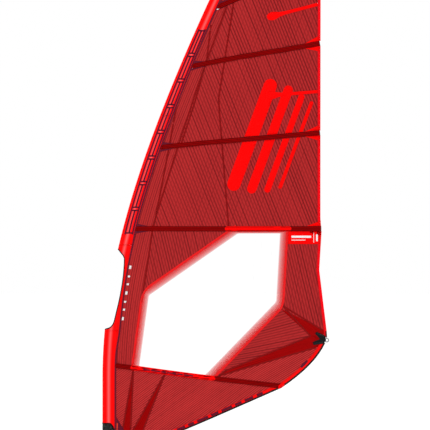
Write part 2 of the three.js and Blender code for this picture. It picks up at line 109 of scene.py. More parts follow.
LEECH_OUTER = metres((1728, 972), (1725, 1022), (1667, 1498), (1685, 1800), (1676, 1900)) + bezier(
    (1.676, 3.604), (1.69, 3.95), (1.455, 4.087), 8)
FOOT_OUTER = metres((60, 20)) + bezier((1.369, 0.58), (1.628, 0.751), (1.712, 0.929), 8)
LUFF_PANEL_SEAM = metres(
    (200, 660), (281, 1250), (339, 1618), (371, 1843), (578, 2504), (659, 2746), (709, 2902), (975, 3640))
WINDOW_FORE = bezier((0.36, 1.381), (0.292, 1.334), (0.281, 1.25), 6)
WINDOW_AFT = bezier((1.345, 1.177), (1.384, 1.217), (1.387, 1.29), 6)
BOOM_CUTOUT = (metres((-90, 1030), (-10, 1033)) + bezier((0.01, 1.04), (0.055, 1.048), (0.07, 1.105), 10)
               + bezier((0.097, 1.218), (0.147, 1.43), (0.148, 1.59), 12)
               + metres((140, 1610), (85, 1680), (-90, 1680)))
TACK_CURVE = (metres((-90, 0), (74, 0)) + bezier((0.074, 0.236), (0.054, 0.304), (0.028, 0.304), 8)
              + metres((-90, 304)))


def luff_front(z):
    return LUFF_X + BEND_SLOPE * (math.hypot(max(0.0, z - BEND_START), BEND_LENGTH) - BEND_LENGTH)


def smooth(t):
    t = min(1.0, max(0.0, t))
    return t * t * (3 - 2 * t)


def sleeve_width(z):
    z = min(HEAD_Z, max(0.0, z))
    for (z0, w0), (z1, w1) in zip(SLEEVE_WIDTHS, SLEEVE_WIDTHS[1:]):
        if z <= z1:
            return w0 + (w1 - w0) * smooth((z - z0) / (z1 - z0))


def seam_x(z):
    return luff_front(z) + sleeve_width(z)


def sleeve_half(x, z):
    """Half the sleeve's thickness at a point seen from the side."""
    s = (x - luff_front(z)) / sleeve_width(z) * 0.1
    if s < TANGENT[0]:
        half = math.sqrt(max(0.0, NOSE ** 2 - (s - NOSE) ** 2))
    else:
        half = TANGENT[1] + (s - TANGENT[0]) / (0.1 - TANGENT[0]) * (TAIL - TANGENT[1])
    return max(0.0, half) * (1 - SLEEVE_TAPER * z / HEAD_Z)


def sail_y(x, z):
    seam = seam_x(z)
    u = min(1.0, max(0.0, (x - seam) / (LEECH_LINE - seam)))
    draft = DRAFT * (1 - ((z - DRAFT_HEIGHT) / DRAFT_REACH) ** 2)
    twist = TWIST * (max(0.0, z - TWIST_START) / (HEAD_Z - TWIST_START)) ** 2
    return -draft * DRAFT_SCALE * u * u * (1 - u) ** 3 - twist * u * u


def direction(a, b):
    """The unit vector from a to b, and the distance between them."""
    length = math.dist(a, b)
    return (b[0] - a[0]) / length, (b[1] - a[1]) / length, length


def batten_height(batten, x):
    (x0, z0), (x1, z1), _ = batten
    return z0 + (z1 - z0) * (x - x0) / (x1 - x0)


def cloth_y(x, z):
    """The middle of the cloth, with slight ripples that die out at the battens."""
    heights = [-0.1] + [batten_height(b, x) for b in BATTENS] + [HEAD_Z + 0.2]
    share = 0.0
    for low, high in zip(heights, heights[1:]):
        if low <= z <= high:
            share = math.sin(math.pi * (z - low) / (high - low)) ** 2
    near_seam = smooth((x - seam_x(z)) / 0.12)
    wave = math.sin(21 * x + 13 * z + 2.2 * math.sin(3.1 * x - 1.4 * z))
    return sail_y(x, z) + bpy.context.scene.sail_sizes.ripple * share * near_seam * wave


def pocket_profile(across, width):
    """Half a pocket's thickness at a distance from its middle line."""
    tube = width / 2 - POCKET_HEM
    return POCKET_EDGE + (POCKET_HALF - POCKET_EDGE) * math.sqrt(1 - min(1.0, abs(across) / tube) ** 7)


def on_batten(batten, x, z):
    """How far a point is along a batten and across it, and the batten's length."""
    x0, z0 = batten[0]
    dx, dz, length = direction(*batten[:2])
    return (x - x0) * dx + (z - z0) * dz, (z - z0) * dx - (x - x0) * dz, length


def pocket_height(x, z):
    """How far the pockets stand proud of the cloth's middle at a point."""
    for batten in BATTENS:
        along, across, length = on_batten(batten, x, z)
        if -0.02 <= along <= length and abs(across) <= batten[2] / 2 + 0.001:
            return pocket_profile(across, batten[2])
    return PANEL_LIFT


# each of these gives, for a side and a lift, the place of a point seen from the side

def on_cloth(side, lift):
    return lambda x, z: (x, cloth_y(x, z) + side * (PANEL_LIFT + lift), z)


def over_pockets(side, lift):
    return lambda x, z: (x, cloth_y(x, z) + side * (pocket_height(x, z) + lift), z)


def on_sleeve(side, lift):
    return lambda x, z: (x, side * (sleeve_half(x, z) + lift), z)


def over_seam(side, lift):
    """Over the seam where the panels are sewn to the sleeve."""
    def place(x, z):
        half = sleeve_half(x, z) if x < seam_x(z) - 0.0005 else TAIL * (1 - SLEEVE_TAPER * z / HEAD_Z)
        return x, sail_y(x, z) + side * (max(half, 0.0006) + lift), z

    return place


# underside and top of what is laid on a surface, above that surface
LAYERS = {
    "luff_seam_tape": (-0.0002, 0.0007), "sleeve_line": (-0.0002, 0.0004), "window_tape": (-0.0001, 0.0006),
    "pocket_end": (-0.0011, 0.0001), "seam_tape": (-0.0001, 0.0003), "body_bar": (-0.0001, 0.00025),
    "patch": (-0.0001, 0.0006), "drop": (-0.0001, 0.0005), "pocket_strip": (-0.0002, 0.0005),
    "kink_cap": (-0.0002, 0.0012), "pocket_patch": (-0.0001, 0.0008), "foot_mark": (0.0001, 0.0004),
    "pocket_mark": (0.0003, 0.0008), "label_bar": (0.0005, 0.0009), "trim_mark": (-0.0001, 0.0004),
    "strap": (0.0, 0.0018), "second_strap": (0.0016, 0.0024), "leech_strap": (0.0001, 0.0014),
    "tab": (0.0007, 0.0016),
}
# underside and top of each kind of stitching, and the spacing and width of its stitches
STITCHING = {
    "luff_seam": (0.0006, 0.0012, 0.012, 0.0012), "sleeve_join": (-0.0002, 0.0006, 0.008, 0.0012),
    "foot_binding": (0.0011, 0.0017, 0.009, 0.0013), "edge": (0.0001, 0.0008, 0.009, 0.0013),
    "pocket": (-0.0002, 0.0006, 0.008, 0.0013), "seam": (0.0002, 0.0009, 0.010, 0.0017),
    "clew": (0.0022, 0.003, 0.0045, 0.0012), "tack": (0.0016, 0.0024, 0.006, 0.0014),
}
EDGE_ZIGZAG = 0.0022
ZIGZAG_GAP = 0.1  # the share of its spacing that a zigzag stitch leaves open


# ---- outlines in the XZ plane ----

def shifted(line, distance):
    """The line moved to its left, with mitred corners."""
    def normal(a, b):
        return Vector((a[1] - b[1], b[0] - a[0])).normalized()

    moved = []
    for i, point in enumerate(line):
        before = normal(line[i - 1], point) if i else normal(point, line[1])
        after = normal(point, line[i + 1]) if i < len(line) - 1 else before
        shift = (before + after) * (distance / (1 + before.dot(after)))
        moved.append((point[0] + shift.x, point[1] + shift.y))
    return moved


def strip(line, width, offset=0.0):
    """The outline of a strip along a line."""
    return shifted(line, offset - width / 2) + shifted(line, offset + width / 2)[::-1]


def clip(outline, a, b):
    """The part of an outline to the left of the line from a to b."""
    def side(p):
        return (b[0] - a[0]) * (p[1] - a[1]) - (b[1] - a[1]) * (p[0] - a[0])

    kept = []
    for p, q in zip(outline, outline[1:] + outline[:1]):
        here, there = side(p), side(q)
        if here >= 0:
            kept.append(p)
        if here * there < 0:
            t = here / (here - there)
            kept.append((p[0] + (q[0] - p[0]) * t, p[1] + (q[1] - p[1]) * t))
    return kept


def beside_pocket(outline, number, side, margin=0.0006):
    """The part of an outline above (side 1) or below (side -1) a batten's pocket."""
    fore, aft, width = BATTENS[number]
    a, b = shifted([fore, aft], side * (width / 2 + margin))
    return clip(outline, a, b) if side > 0 else clip(outline, b, a)


def off_pockets(outline, numbers):
    """An outline cut into the pieces that lie beside the pockets."""
    pieces = [outline]
    for number in numbers:
        pieces = [beside_pocket(piece, number, side)
                  for piece in pieces for side in (1, -1) if len(piece) > 2]
    return [piece for piece in pieces if len(piece) > 2]


def rounded_bar(a, b, width, count=7):
    """A bar with round ends."""
    angle = math.atan2(b[1] - a[1], b[0] - a[0])
    ends = ((b, -math.pi / 2), (a, math.pi / 2))
    turns = [(end, angle + start + math.pi * i / count) for end, start in ends for i in range(count + 1)]
    return [(end[0] + width / 2 * math.cos(t), end[1] + width / 2 * math.sin(t)) for end, t in turns]


def resampled(line, step):
    """Points spaced evenly along a line."""
    lengths = [math.dist(a, b) for a, b in zip(line, line[1:])]
    count = max(1, round(sum(lengths) / step))
    spacing = sum(lengths) / count
    points, i, passed = [line[0]], 0, 0.0
    for k in range(1, count):
        target = k * spacing
        while passed + lengths[i] < target:
            passed += lengths[i]
            i += 1
        t = (target - passed) / lengths[i]
        points.append(tuple(p + (q - p) * t for p, q in zip(line[i], line[i + 1])))
    return points + [line[-1]]


def flat_size(points):
    """Width and length of the smallest rectangle round some points."""
    def half_hull(ordered):
        hull = []
        for p in ordered:
            while len(hull) > 1 and ((hull[-1][0] - hull[-2][0]) * (p[1] - hull[-2][1])
                                     <= (hull[-1][1] - hull[-2][1]) * (p[0] - hull[-2][0])):
                hull.pop()
            hull.append(p)
        return hull[:-1]

    ordered = sorted(set(points))
    hull = half_hull(ordered) + half_hull(ordered[::-1])
    sizes = []
    for a, b in zip(hull, hull[1:] + hull[:1]):
        dx, dz, _ = direction(a, b)
        along = [p[0] * dx + p[1] * dz for p in hull]
        across = [p[1] * dx - p[0] * dz for p in hull]
        sizes.append(sorted((max(along) - min(along), max(across) - min(across))))
    return min(sizes, key=lambda size: size[0] * size[1])


# ---- meshes ----

def cut_grid(flat, step):
    """Cuts a flat mesh along a grid in the XZ plane."""
    for axis in (0, 2):
        values = [v.co[axis] for v in flat.verts]
        normal = (1, 0, 0) if axis == 0 else (0, 0, 1)
        for k in range(math.ceil(min(values) / step), math.floor(max(values) / step) + 1):
            place = Vector(normal) * (k * step)
            geometry = flat.verts[:] + flat.edges[:] + flat.faces[:]
            bmesh.ops.bisect_plane(flat, geom=geometry, dist=1e-5, plane_co=place, plane_no=normal)


def flat_from(outline, step=0.03):
    """A flat mesh from an outline, facing -Y and cut along a grid."""
    area = sum(a[0] * b[1] - b[0] * a[1] for a, b in zip(outline, outline[1:] + outline[:1]))
    ordered = outline if area > 0 else outline[::-1]
    flat = bmesh.new()
    face = flat.faces.new([flat.verts.new((x, 0, z)) for x, z in ordered])
    face.normal_update()
    bmesh.ops.triangulate(flat, faces=[face])
    if step:
        cut_grid(flat, step)
    return flat


def flat_of(node, step):
    """The face of a CAD panel towards -Y, flattened and cut along a grid."""
    flat = bmesh.new()
    flat.from_mesh(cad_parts[node].data)
    bmesh.ops.remove_doubles(flat, verts=flat.verts, dist=1e-5)
    flat.normal_update()
    bmesh.ops.delete(flat, geom=[f for f in flat.faces if f.normal.y > -0.5], context="FACES")
    for vertex in flat.verts:
        vertex.co.y = 0
    bmesh.ops.dissolve_limit(flat, angle_limit=0.001, verts=flat.verts, edges=flat.edges)
    bmesh.ops.triangulate(flat, faces=flat.faces)
    widen(flat, OVERLAP)
    cut_grid(flat, step)
    return flat


def widen(flat, distance):
    """Moves the edge of a flat mesh outwards, so that it laps over its neighbours."""
    moves = {}
    for edge in flat.edges:
        if edge.is_boundary:
            loop = edge.link_loops[0]
            a, b = loop.vert, loop.link_loop_next.vert
            way = (b.co - a.co).normalized()
            for vertex in (a, b):
                moves.setdefault(vertex, []).append(Vector((way.z, 0, -way.x)))
    for vertex, normals in moves.items():
        mean = sum(normals, Vector()).normalized()
        vertex.co += mean * distance


class Shell:
    """Gathers the points and faces of one piece."""

    def __init__(self):
        self.points, self.faces, self.rims = [], [], []

    def face(self, ids, rim=False):
        self.faces.append(ids)
        self.rims.append(rim)

    def lay(self, flat, near, far):
        """A closed layer between two surfaces; near looks towards -Y."""
        start, count = len(self.points), len(flat.verts)
        flat.verts.index_update()
        for place in (near, far):
            self.points += [place(v.co.x, v.co.z) for v in flat.verts]
        for face in flat.faces:
            ids = [start + v.index for v in face.verts]
            self.face(ids)
            self.face([i + count for i in reversed(ids)])
        for edge in flat.edges:
            if edge.is_boundary:
                loop = edge.link_loops[0]
                a, b = start + loop.vert.index, start + loop.link_loop_next.vert.index
                self.face([b, a, a + count, b + count], rim=True)
        return self

    def stick(self, flat, place, low, high):
        """A layer on each side of the sail, from low to high above the surface."""
        self.lay(flat, place(-1, high), place(-1, low))
        return self.lay(flat, place(1, low), place(1, high))

    def loft(self, rows, closed=True, flip=False):
        """Quads between rows of points, each row with the same number of points."""
        start, count = len(self.points), len(rows[0])
        for row in rows:
            self.points += row
        for r in range(len(rows) - 1):
            for i in range(count if closed else count - 1):
                j = (i + 1) % count
                ids = [start + r * count + i, start + r * count + j,
                       start + (r + 1) * count + j, start + (r + 1) * count + i]
                self.face(ids[::-1] if flip else ids)
        return start

    def close(self, start, rows, count, flip=False):
        """Faces over the first and last row of a loft."""
        last = start + (rows - 1) * count
        first_ids, last_ids = ([begin + k for k in range(count)] for begin in (start, last))
        self.face(first_ids if flip else first_ids[::-1], rim=True)
        self.face(last_ids[::-1] if flip else last_ids, rim=True)

    def walls(self, outer, inner):
        """An open tube with walls, from two lofts of the same size."""
        count, last = len(outer[0]), (len(outer) - 1) * len(outer[0])
        a, b = self.loft(outer), self.loft(inner, flip=True)
        for i in range(count):
            j = (i + 1) % count
            self.face([a + j, a + i, b + i, b + j], rim=True)
            self.face([a + last + i, a + last + j, b + last + j, b + last + i], rim=True)
        return self

    def stitch(self, line, place, low, high, step, width, swing=0.0, gap=0.25):
        """Small raised stitches along a line on both sides, straight or zigzag."""
        points = resampled(line, step)
        for k, (a, b) in enumerate(zip(points, points[1:])):
            way = Vector((b[0] - a[0], b[1] - a[1])).normalized()
            left = Vector((-way.y, way.x))
            swings = (swing, -swing) if k % 2 else (-swing, swing)
            start, end = Vector(a) + left * swings[0], Vector(b) + left * swings[1]
            end = start.lerp(end, 1 - gap)
            across = left * (width / 2)
            corners = [start - across, end - across, end + across, start + across]
            for side in (-1, 1):
                first = len(self.points)
                for lift, inset in ((low, 0.0), (high, 0.35)):
                    middle = (start + end) / 2
                    for corner in corners:
                        spot = corner.lerp(middle, inset * 0.5)
                        self.points.append(place(side, lift)(spot.x, spot.y))
                quads = [(0, 3, 2, 1), (4, 5, 6, 7), (0, 1, 5, 4), (1, 2, 6, 5), (2, 3, 7, 6), (3, 0, 4, 7)]
                for quad in quads:
                    ids = [first + i for i in quad]
                    self.face(ids if side < 0 else ids[::-1])
        return self

    def made(self, name, look, slot, body="sail", replaces=(), tidy=False):
        """The finished object, riding on its body."""
        mesh = bpy.data.meshes.new(name)
        mesh.from_pydata(self.points, [], self.faces)
        mesh.polygons.foreach_set("use_smooth", [not rim for rim in self.rims])
        if tidy:
            solid = bmesh.new()
            solid.from_mesh(mesh)
            bmesh.ops.recalc_face_normals(solid, faces=solid.faces)
            solid.to_mesh(mesh)
        mesh.materials.append(look)
        piece = bpy.data.objects.new(name, mesh)
        bpy.context.scene.collection.objects.link(piece)
        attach(piece, body)
        if replaces:
            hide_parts(*replaces)
        return piece


def swept(shell, path, radius, sides=8):
    """A round edge binding along a path of points, added to a shell."""
    points = [Vector(p) for p in path]
    rows = []
    for i, point in enumerate(points):
        before = points[i - 1] if i else point
        after = points[i + 1] if i < len(points) - 1 else point
        way = (after - before).normalized()
        across = way.cross(Vector((0, 1, 0)))
        across = across.normalized() if across.length > 0.1 else Vector((1, 0, 0))
        up = across.cross(way).normalized()
        turns = [2 * math.pi * k / sides for k in range(sides)]
        rows.append([tuple(point + across * radius * math.cos(t) + up * radius * math.sin(t)) for t in turns])
    shell.close(shell.loft(rows), len(rows), sides)
    return shell


# ---- shading ----

def tone(red, green, blue):
    """A colour as it looks under the studio light, from values of 0 to 255."""
    def linear(value):
        share = value / 255
        return share / 12.92 if share <= 0.04045 else ((share + 0.055) / 1.055) ** 2.4

    return tuple(linear(value) for value in (red, green, blue))


class Socket:
    """A shader socket that can be used in sums."""

    def __init__(self, look, socket):
        self.look, self.socket = look, socket

    def __add__(self, other):
        return self.look.math("ADD", self, other)

    __radd__ = __add__

    def __sub__(self, other):
        return self.look.math("SUBTRACT", self, other)

    def __rsub__(self, other):
        return self.look.math("SUBTRACT", other, self)

    def __mul__(self, other):
        return self.look.math("MULTIPLY", self, other)

    __rmul__ = __mul__

    def __truediv__(self, other):
        return self.look.math("DIVIDE", self, other)

    def __pow__(self, other):
        return self.look.math("POWER", self, other)

    def __abs__(self):
        return self.look.math("ABSOLUTE", self)


class Look:
    """A material while its nodes are being made."""

    def __init__(self, name):
        self.material = bpy.data.materials.new(name)
        self.material.use_nodes = True
        self.tree = self.material.node_tree
        self.tree.nodes.clear()

    def node(self, kind, settings=None, sockets=None, output=0):
        """One node's output: its settings are set first, then the values or links of its sockets."""
        made = self.tree.nodes.new(kind)
        for name, value in (settings or {}).items():
            setattr(made, name, value)
        for name, value in (sockets or {}).items():
            if isinstance(value, Socket):
                self.tree.links.new(value.socket, made.inputs[name])
            else:
                made.inputs[name].default_value = value
        return Socket(self, made.outputs[output]) if made.outputs else None

    def math(self, operation, *values, clamped=False):
        settings = {"operation": operation, "use_clamp": clamped}
        return self.node("ShaderNodeMath", settings, dict(enumerate(values)))

    def clamp(self, value):
        return self.math("ADD", value, 0.0, clamped=True)

    def place(self):
        """A point on the piece, as x, y and z in metres."""
        split = self.tree.nodes.new("ShaderNodeSeparateXYZ")
        coordinates = self.node("ShaderNodeTexCoord", output="Object")
        self.tree.links.new(coordinates.socket, split.inputs[0])
        return [Socket(self, output) for output in split.outputs]

    def noise(self, scale, detail=3.0, stretch=(1, 1, 1)):
        """Smooth noise from 0 to 1."""
        coordinates = self.node("ShaderNodeTexCoord", output="Object")
        stretched = self.node("ShaderNodeVectorMath", {"operation": "MULTIPLY"}, {0: coordinates, 1: stretch})
        return self.node("ShaderNodeTexNoise", {}, {"Vector": stretched, "Scale": scale, "Detail": detail})

    def random(self, value):
        """A steady random number for each whole number."""
        return self.node("ShaderNodeTexWhiteNoise", {"noise_dimensions": "1D"}, {"W": value}, "Value")

    def mix(self, factor, first, second):
        """Two colours mixed by a factor from 0 to 1."""
        def colour(value):
            return value if isinstance(value, Socket) else (*value, 1.0)

        sockets = {0: factor, 6: colour(first), 7: colour(second)}
        return self.node("ShaderNodeMix", {"data_type": "RGBA"}, sockets, 2)

    def lines(self, across, pitch, width, soft):
        """1 on lines that repeat at a pitch, and 0 between them."""
        offset = abs(self.math("FRACT", across / pitch) - 0.5) * pitch
        return self.clamp((width / 2 + soft - offset) / (2 * soft))

    def uneven_lines(self, across, pitch, width, soft, seed, even):
        """Lines that repeat at a pitch, each with a strength of its own, from even to 1."""
        strength = self.random(self.math("FLOOR", across / pitch) + seed) * (1 - even) + even
        return self.lines(across, pitch, width, soft) * strength

    def finish(self, colour, roughness, height=None, depth=0.0005, fixed=None):
        """The shader, with what is the same all over set on its own sockets."""
        base = colour if isinstance(colour, Socket) else (*colour, 1.0)
        sockets = {"Base Color": base, "Roughness": roughness, **(fixed or {})}
        if height is not None:
            bump = {"Distance": depth, "Height": height}
            sockets["Normal"] = self.node("ShaderNodeBump", {}, bump, "Normal")
        shader = self.node("ShaderNodeBsdfPrincipled", {}, sockets)
        self.node("ShaderNodeOutputMaterial", {}, {"Surface": shader})
        return self.material


# ways that yarns run, each as the distance across them

def straight(degrees):
    cosine, sine = math.cos(math.radians(degrees)), math.sin(math.radians(degrees))
    return lambda look, x, z: z * cosine - x * sine


def luffwise(look, x, z):
    above = look.math("MAXIMUM", z - BEND_START, 0.0)
    bend = look.math("SQRT", above * above + BEND_LENGTH ** 2)
    return x - bend * BEND_SLOPE


def fanned(x0, z0, reach=1.0):
    return lambda look, x, z: look.math("ARCTAN2", z - z0, x - x0) * reach


def film_cloth(name, colour, yarn, families, dots=0.0, shine=0.045, even=0.45):
    """Laminated film with yarns inside; a family is (way, pitch, width, strength)."""
    look = Look(name)
    x, _, z = look.place()
    dark = None
    for seed, (way, pitch, width, strength) in enumerate(families):
        across = way(look, x, z)
        yarns = look.uneven_lines(across, pitch, width, width * 0.35, seed * 31.7, even) * strength
        dark = yarns if dark is None else look.math("MAXIMUM", dark, yarns)
    if dots:
        weave = look.lines(x + z, 0.012, 0.004, 0.002) * look.lines(x - z, 0.012, 0.004, 0.002)
        dark = look.math("MAXIMUM", dark, weave * dots)
    shade = look.noise(3.2, 4.0)
    tinted = look.mix(look.clamp(shade * 1.6 - 0.5) * 0.22, colour, yarn)
    fine = look.noise(420.0, 1.0, (1, 0.2, 1))
    colours = look.mix(look.clamp(dark), tinted, yarn)
    roughness = look.clamp(0.36 + shade * 0.18 + dark * 0.1)
    return look.finish(colours, roughness, dark + fine * 0.15, 0.0006, {"Specular IOR Level": shine})


def woven_cloth(name, colour, shadow, scale=0.0045, sheen=0.02, roughness=0.45):
    """A close plain weave with slightly darker, scuffed places."""
    look = Look(name)
    x, y, z = look.place()
    turn = 2 * math.pi / scale
    warp = look.math("SINE", (x + y * 0.7) * turn)
    weft = look.math("SINE", z * turn)
    weave = warp * weft * 0.5 + 0.5
    shade = look.noise(5.0, 5.0)
    scuffs = look.clamp(look.noise(38.0, 6.0) * 3.0 - 1.9)
    colours = look.mix(look.clamp(shade * 1.4 - 0.5) * 0.3 + weave * 0.06, colour, shadow)
    colours = look.mix(scuffs * 0.18, colours, shadow)
    fixed = {"Specular IOR Level": 0.04, "Sheen Weight": sheen, "Sheen Roughness": 0.4}
    return look.finish(colours, look.clamp(roughness + scuffs * 0.2), weave + scuffs * 0.4, 0.0005, fixed)


def sleeve_finish(name, colour, shadow, sheen):
    """Smooth coated cloth with a long soft painted highlight down its middle, where the mast fills it out, and
    painted shade towards both edges.
    """
    look = Look(name)
    x, _, z = look.place()
    share = (luffwise(look, x, z) - LUFF_X + BEND_SLOPE * BEND_LENGTH) / 0.1
    weave = look.lines(x + z, 0.005, 0.0018, 0.001)
    shade = look.noise(5.0, 5.0)
    # painted highlight: a lighter band down the middle of the sleeve's width, mixed towards the colour passed
    # in as sheen
    painted_highlight = look.math("MAXIMUM", 1 - abs(share - 0.5) / 0.21, 0.0) ** 1.6
    # painted shade: darker towards the sleeve's fore and aft edges, where its round turns away from the light
    edge = look.clamp((share - 0.86) / 0.1) * 0.3 + look.clamp((0.1 - share) / 0.1) * 0.25
    colours = look.mix(look.clamp(shade * 1.2 - 0.45) * 0.12 + weave * 0.04 + edge, colour, shadow)
    colours = look.mix(look.clamp(painted_highlight) * 0.85, colours, sheen)
    return look.finish(colours, look.clamp(0.38 + shade * 0.12), weave * 0.6 + shade * 3.0, 0.0004,
                       {"Specular IOR Level": 0.05})


def pocket_cloth(name, degrees, colour, shadow):
    """Ribbed batten-pocket cloth, its ribs along the batten, with painted shade in the grooves between them."""
    look = Look(name)
    x, _, z = look.place()
    across = straight(degrees)(look, x, z)
    along = straight(degrees + 90)(look, x, z)
    ribs = look.lines(across, 0.0115, 0.005, 0.0015)
    weave = look.lines(along, 0.006, 0.002, 0.001)
    shade = look.noise(7.0, 4.0)
    # painted shade: the grooves are mixed towards the pocket shade colour; weave and noise add a little darker
    # tone
    dark = look.clamp(ribs * 0.75 + weave * 0.15 + shade * 0.3)
    colours = look.mix(dark, colour, shadow)
    return look.finish(colours, look.clamp(0.36 + shade * 0.2), ribs * -0.6 + weave * 0.3, 0.0006,
                       {"Specular IOR Level": 0.02})


def printed(name, colour, wear=0.12, roughness=0.38):
    """Ink on cloth, a little worn and with the weave showing."""
    look = Look(name)
    x, _, z = look.place()
    weave = look.lines(x + z, 0.005, 0.0018, 0.001)
    shade = look.noise(9.0, 5.0)
    worn = look.clamp(look.noise(70.0, 5.0) * 4.0 - 2.6)
    darker = tuple(value * 0.6 for value in colour)
    colours = look.mix(look.clamp(shade * 1.2 - 0.4) * 0.35 + worn * wear, colour, darker)
    rough = look.clamp(roughness + worn * 0.3)
    return look.finish(colours, rough, weave, 0.0003, {"Specular IOR Level": 0.03})


WINDOW_EDGES = (  # two points on each edge with the inside to their left, and the red fade's width
    ((0.281, 1.25), (0.209, 0.72), 0.055),
    ((0.209, 0.737), (0.85, 0.658), 0.014),
    ((0.85, 0.671), (1.345, 1.177), 0.067),
    ((1.387, 1.29), (1.418, 1.84), 0.058),
    ((1.418, 1.8), (1.0, 1.8), 0.018),
    ((1.019, 1.84), (0.36, 1.381), 0.058),
)


def window_film(colours):
    """Clear film with fine scratches and a red border that fades inwards."""
    look = Look("window_film")
    x, _, z = look.place()
    fade = None
    for (x0, z0), (x1, z1), width in WINDOW_EDGES:
        length = math.hypot(x1 - x0, z1 - z0)
        inwards = (z - z0) * ((x1 - x0) / length) - (x - x0) * ((z1 - z0) / length)
        share = 1 - inwards / width
        fade = share if fade is None else look.math("SMOOTH_MAX", fade, share, 0.3)
    red = look.clamp(fade * 0.62 + 0.2) * look.clamp(fade / 0.12)
    scratches = look.clamp(look.noise(90.0, 6.0, (1, 1, 0.12)) * 6.0 - 3.9)
    grid = look.math("MAXIMUM", look.lines(x, 0.012, 0.0007, 0.0004), look.lines(z, 0.012, 0.0007, 0.0004))
    clear = tone(246, 247, 248)
    tinted = look.mix(look.clamp(red * 3.0), clear, colours.window_edge)
    alpha = look.clamp(red + scratches * 0.1 + grid * 0.05 + 0.07)
    height = scratches + look.noise(2.3, 2.0) * 6.0
    return look.finish(tinted, look.clamp(0.12 + scratches * 0.3 + red * 0.25), height, 0.0006,
                       {"Alpha": alpha, "Specular IOR Level": 0.12})


def webbing_cloth():
    """Black ribbed webbing."""
    look = Look("black_webbing")
    x, _, z = look.place()
    ribs = look.lines(x + z, 0.0035, 0.0016, 0.0008)
    cross = look.lines(x - z, 0.0035, 0.0014, 0.0008)
    fuzz = look.noise(240.0, 4.0)
    colours = look.mix(look.clamp(ribs * 0.5 + cross * 0.3 + fuzz * 0.3), tone(6, 7, 8), tone(30, 31, 33))
    return look.finish(colours, look.clamp(0.7 + fuzz * 0.25), ribs + cross * 0.6 + fuzz * 0.3, 0.0008,
                       {"Specular IOR Level": 0.1, "Sheen Weight": 0.03})


def mottled_pad():
    """Dark textured foam-backed cloth of the mast-foot fairing."""
    look = Look("fairing_pad")
    large = look.noise(55.0, 6.0)
    small = look.noise(310.0, 3.0)
    blotches = look.clamp(large * 3.4 - 1.3)
    colours = look.mix(look.clamp(blotches * 0.8 + small * 0.2), tone(10, 10, 10), tone(62, 62, 60))
    return look.finish(colours, look.clamp(0.62 + small * 0.3), blotches + small * 0.8, 0.001,
                       {"Specular IOR Level": 0.12, "Sheen Weight": 0.03})


def metal(name, colour, roughness):
    """Brushed stainless steel with fine turning marks."""
    look = Look(name)
    marks = look.noise(900.0, 2.0, (0.15, 1, 0.15))
    smears = look.noise(60.0, 5.0)
    colours = look.mix(smears * 0.4, colour, tuple(value * 0.55 for value in colour))
    rough = look.clamp(roughness + marks * 0.15 + smears * 0.12)
    return look.finish(colours, rough, marks, 0.00006, {"Metallic": 1.0})


def moulded(name, colour, roughness=0.45, grain=0.5):
    """Moulded plastic with a fine grain and scuffed edges."""
    look = Look(name)
    grains = look.noise(700.0, 3.0)
    scuffs = look.clamp(look.noise(120.0, 6.0) * 5.0 - 3.1)
    lighter = tuple(min(1.0, value * 1.8 + 0.02) for value in colour)
    colours = look.mix(scuffs * 0.35 + grains * 0.08, colour, lighter)
    rough = look.clamp(roughness + scuffs * 0.25 + grains * 0.1)
    return look.finish(colours, rough, grains * grain + scuffs, 0.00015, {"Specular IOR Level": 0.45})


def rod_fibre():
    """Glass and carbon rod, its fibres along the batten."""
    look = Look("batten_rod")
    streaks = look.noise(160.0, 5.0, (0.05, 1, 1))
    colours = look.mix(look.clamp(streaks * 2.2 - 0.7), tone(22, 22, 24), tone(70, 70, 74))
    rough = look.clamp(0.25 + streaks * 0.25)
    return look.finish(colours, rough, streaks, 0.0001, {"Specular IOR Level": 0.5})


def thread(name, colour):
    """Twisted sewing thread."""
    look = Look(name)
    x, y, z = look.place()
    twist = look.lines(x + y + z, 0.0012, 0.0005, 0.0002)
    darker = tuple(value * 0.45 for value in colour)
    return look.finish(look.mix(twist * 0.6, colour, darker), look.clamp(0.5 + twist * 0.2), twist, 0.0002,
                       {"Specular IOR Level": 0.3})


BODY_WAYS = [(straight(112), 0.022, 0.0085, 1.0), (straight(71), 0.03, 0.0065, 0.6)]
LUFF_WAYS = [(luffwise, 0.017, 0.0062, 0.9), (straight(112), 0.041, 0.005, 0.4)]
LEECH_WAYS = [(straight(104), 0.021, 0.008, 1.0), (straight(80), 0.029, 0.006, 0.6)]
FOOT_WAYS = [(straight(37), 0.0138, 0.0066, 1.0), (straight(28), 0.047, 0.004, 0.35)]
CLEW_WAYS = [(fanned(-0.6, 0.55, 1.7), 0.017, 0.0068, 1.0), (straight(36), 0.04, 0.005, 0.4)]
AFT_FOOT_WAYS = [(straight(31), 0.0138, 0.0066, 1.0), (straight(22), 0.05, 0.004, 0.35)]
CLEW_PATCH_WAYS = [(fanned(1.74, 0.955, 0.55), 0.0125, 0.005, 0.8)]
TACK_PATCH_WAYS = [(straight(62), 0.013, 0.005, 0.7), (straight(118), 0.013, 0.004, 0.45)]


LOOKS = {}


def look_of(name):
    """A finish by its name, made the first time that it is asked for."""
    if name not in LOOKS:
        LOOKS[name] = new_look(name)
        LOOKS[name].name = f"{name}_finish"
    return LOOKS[name]


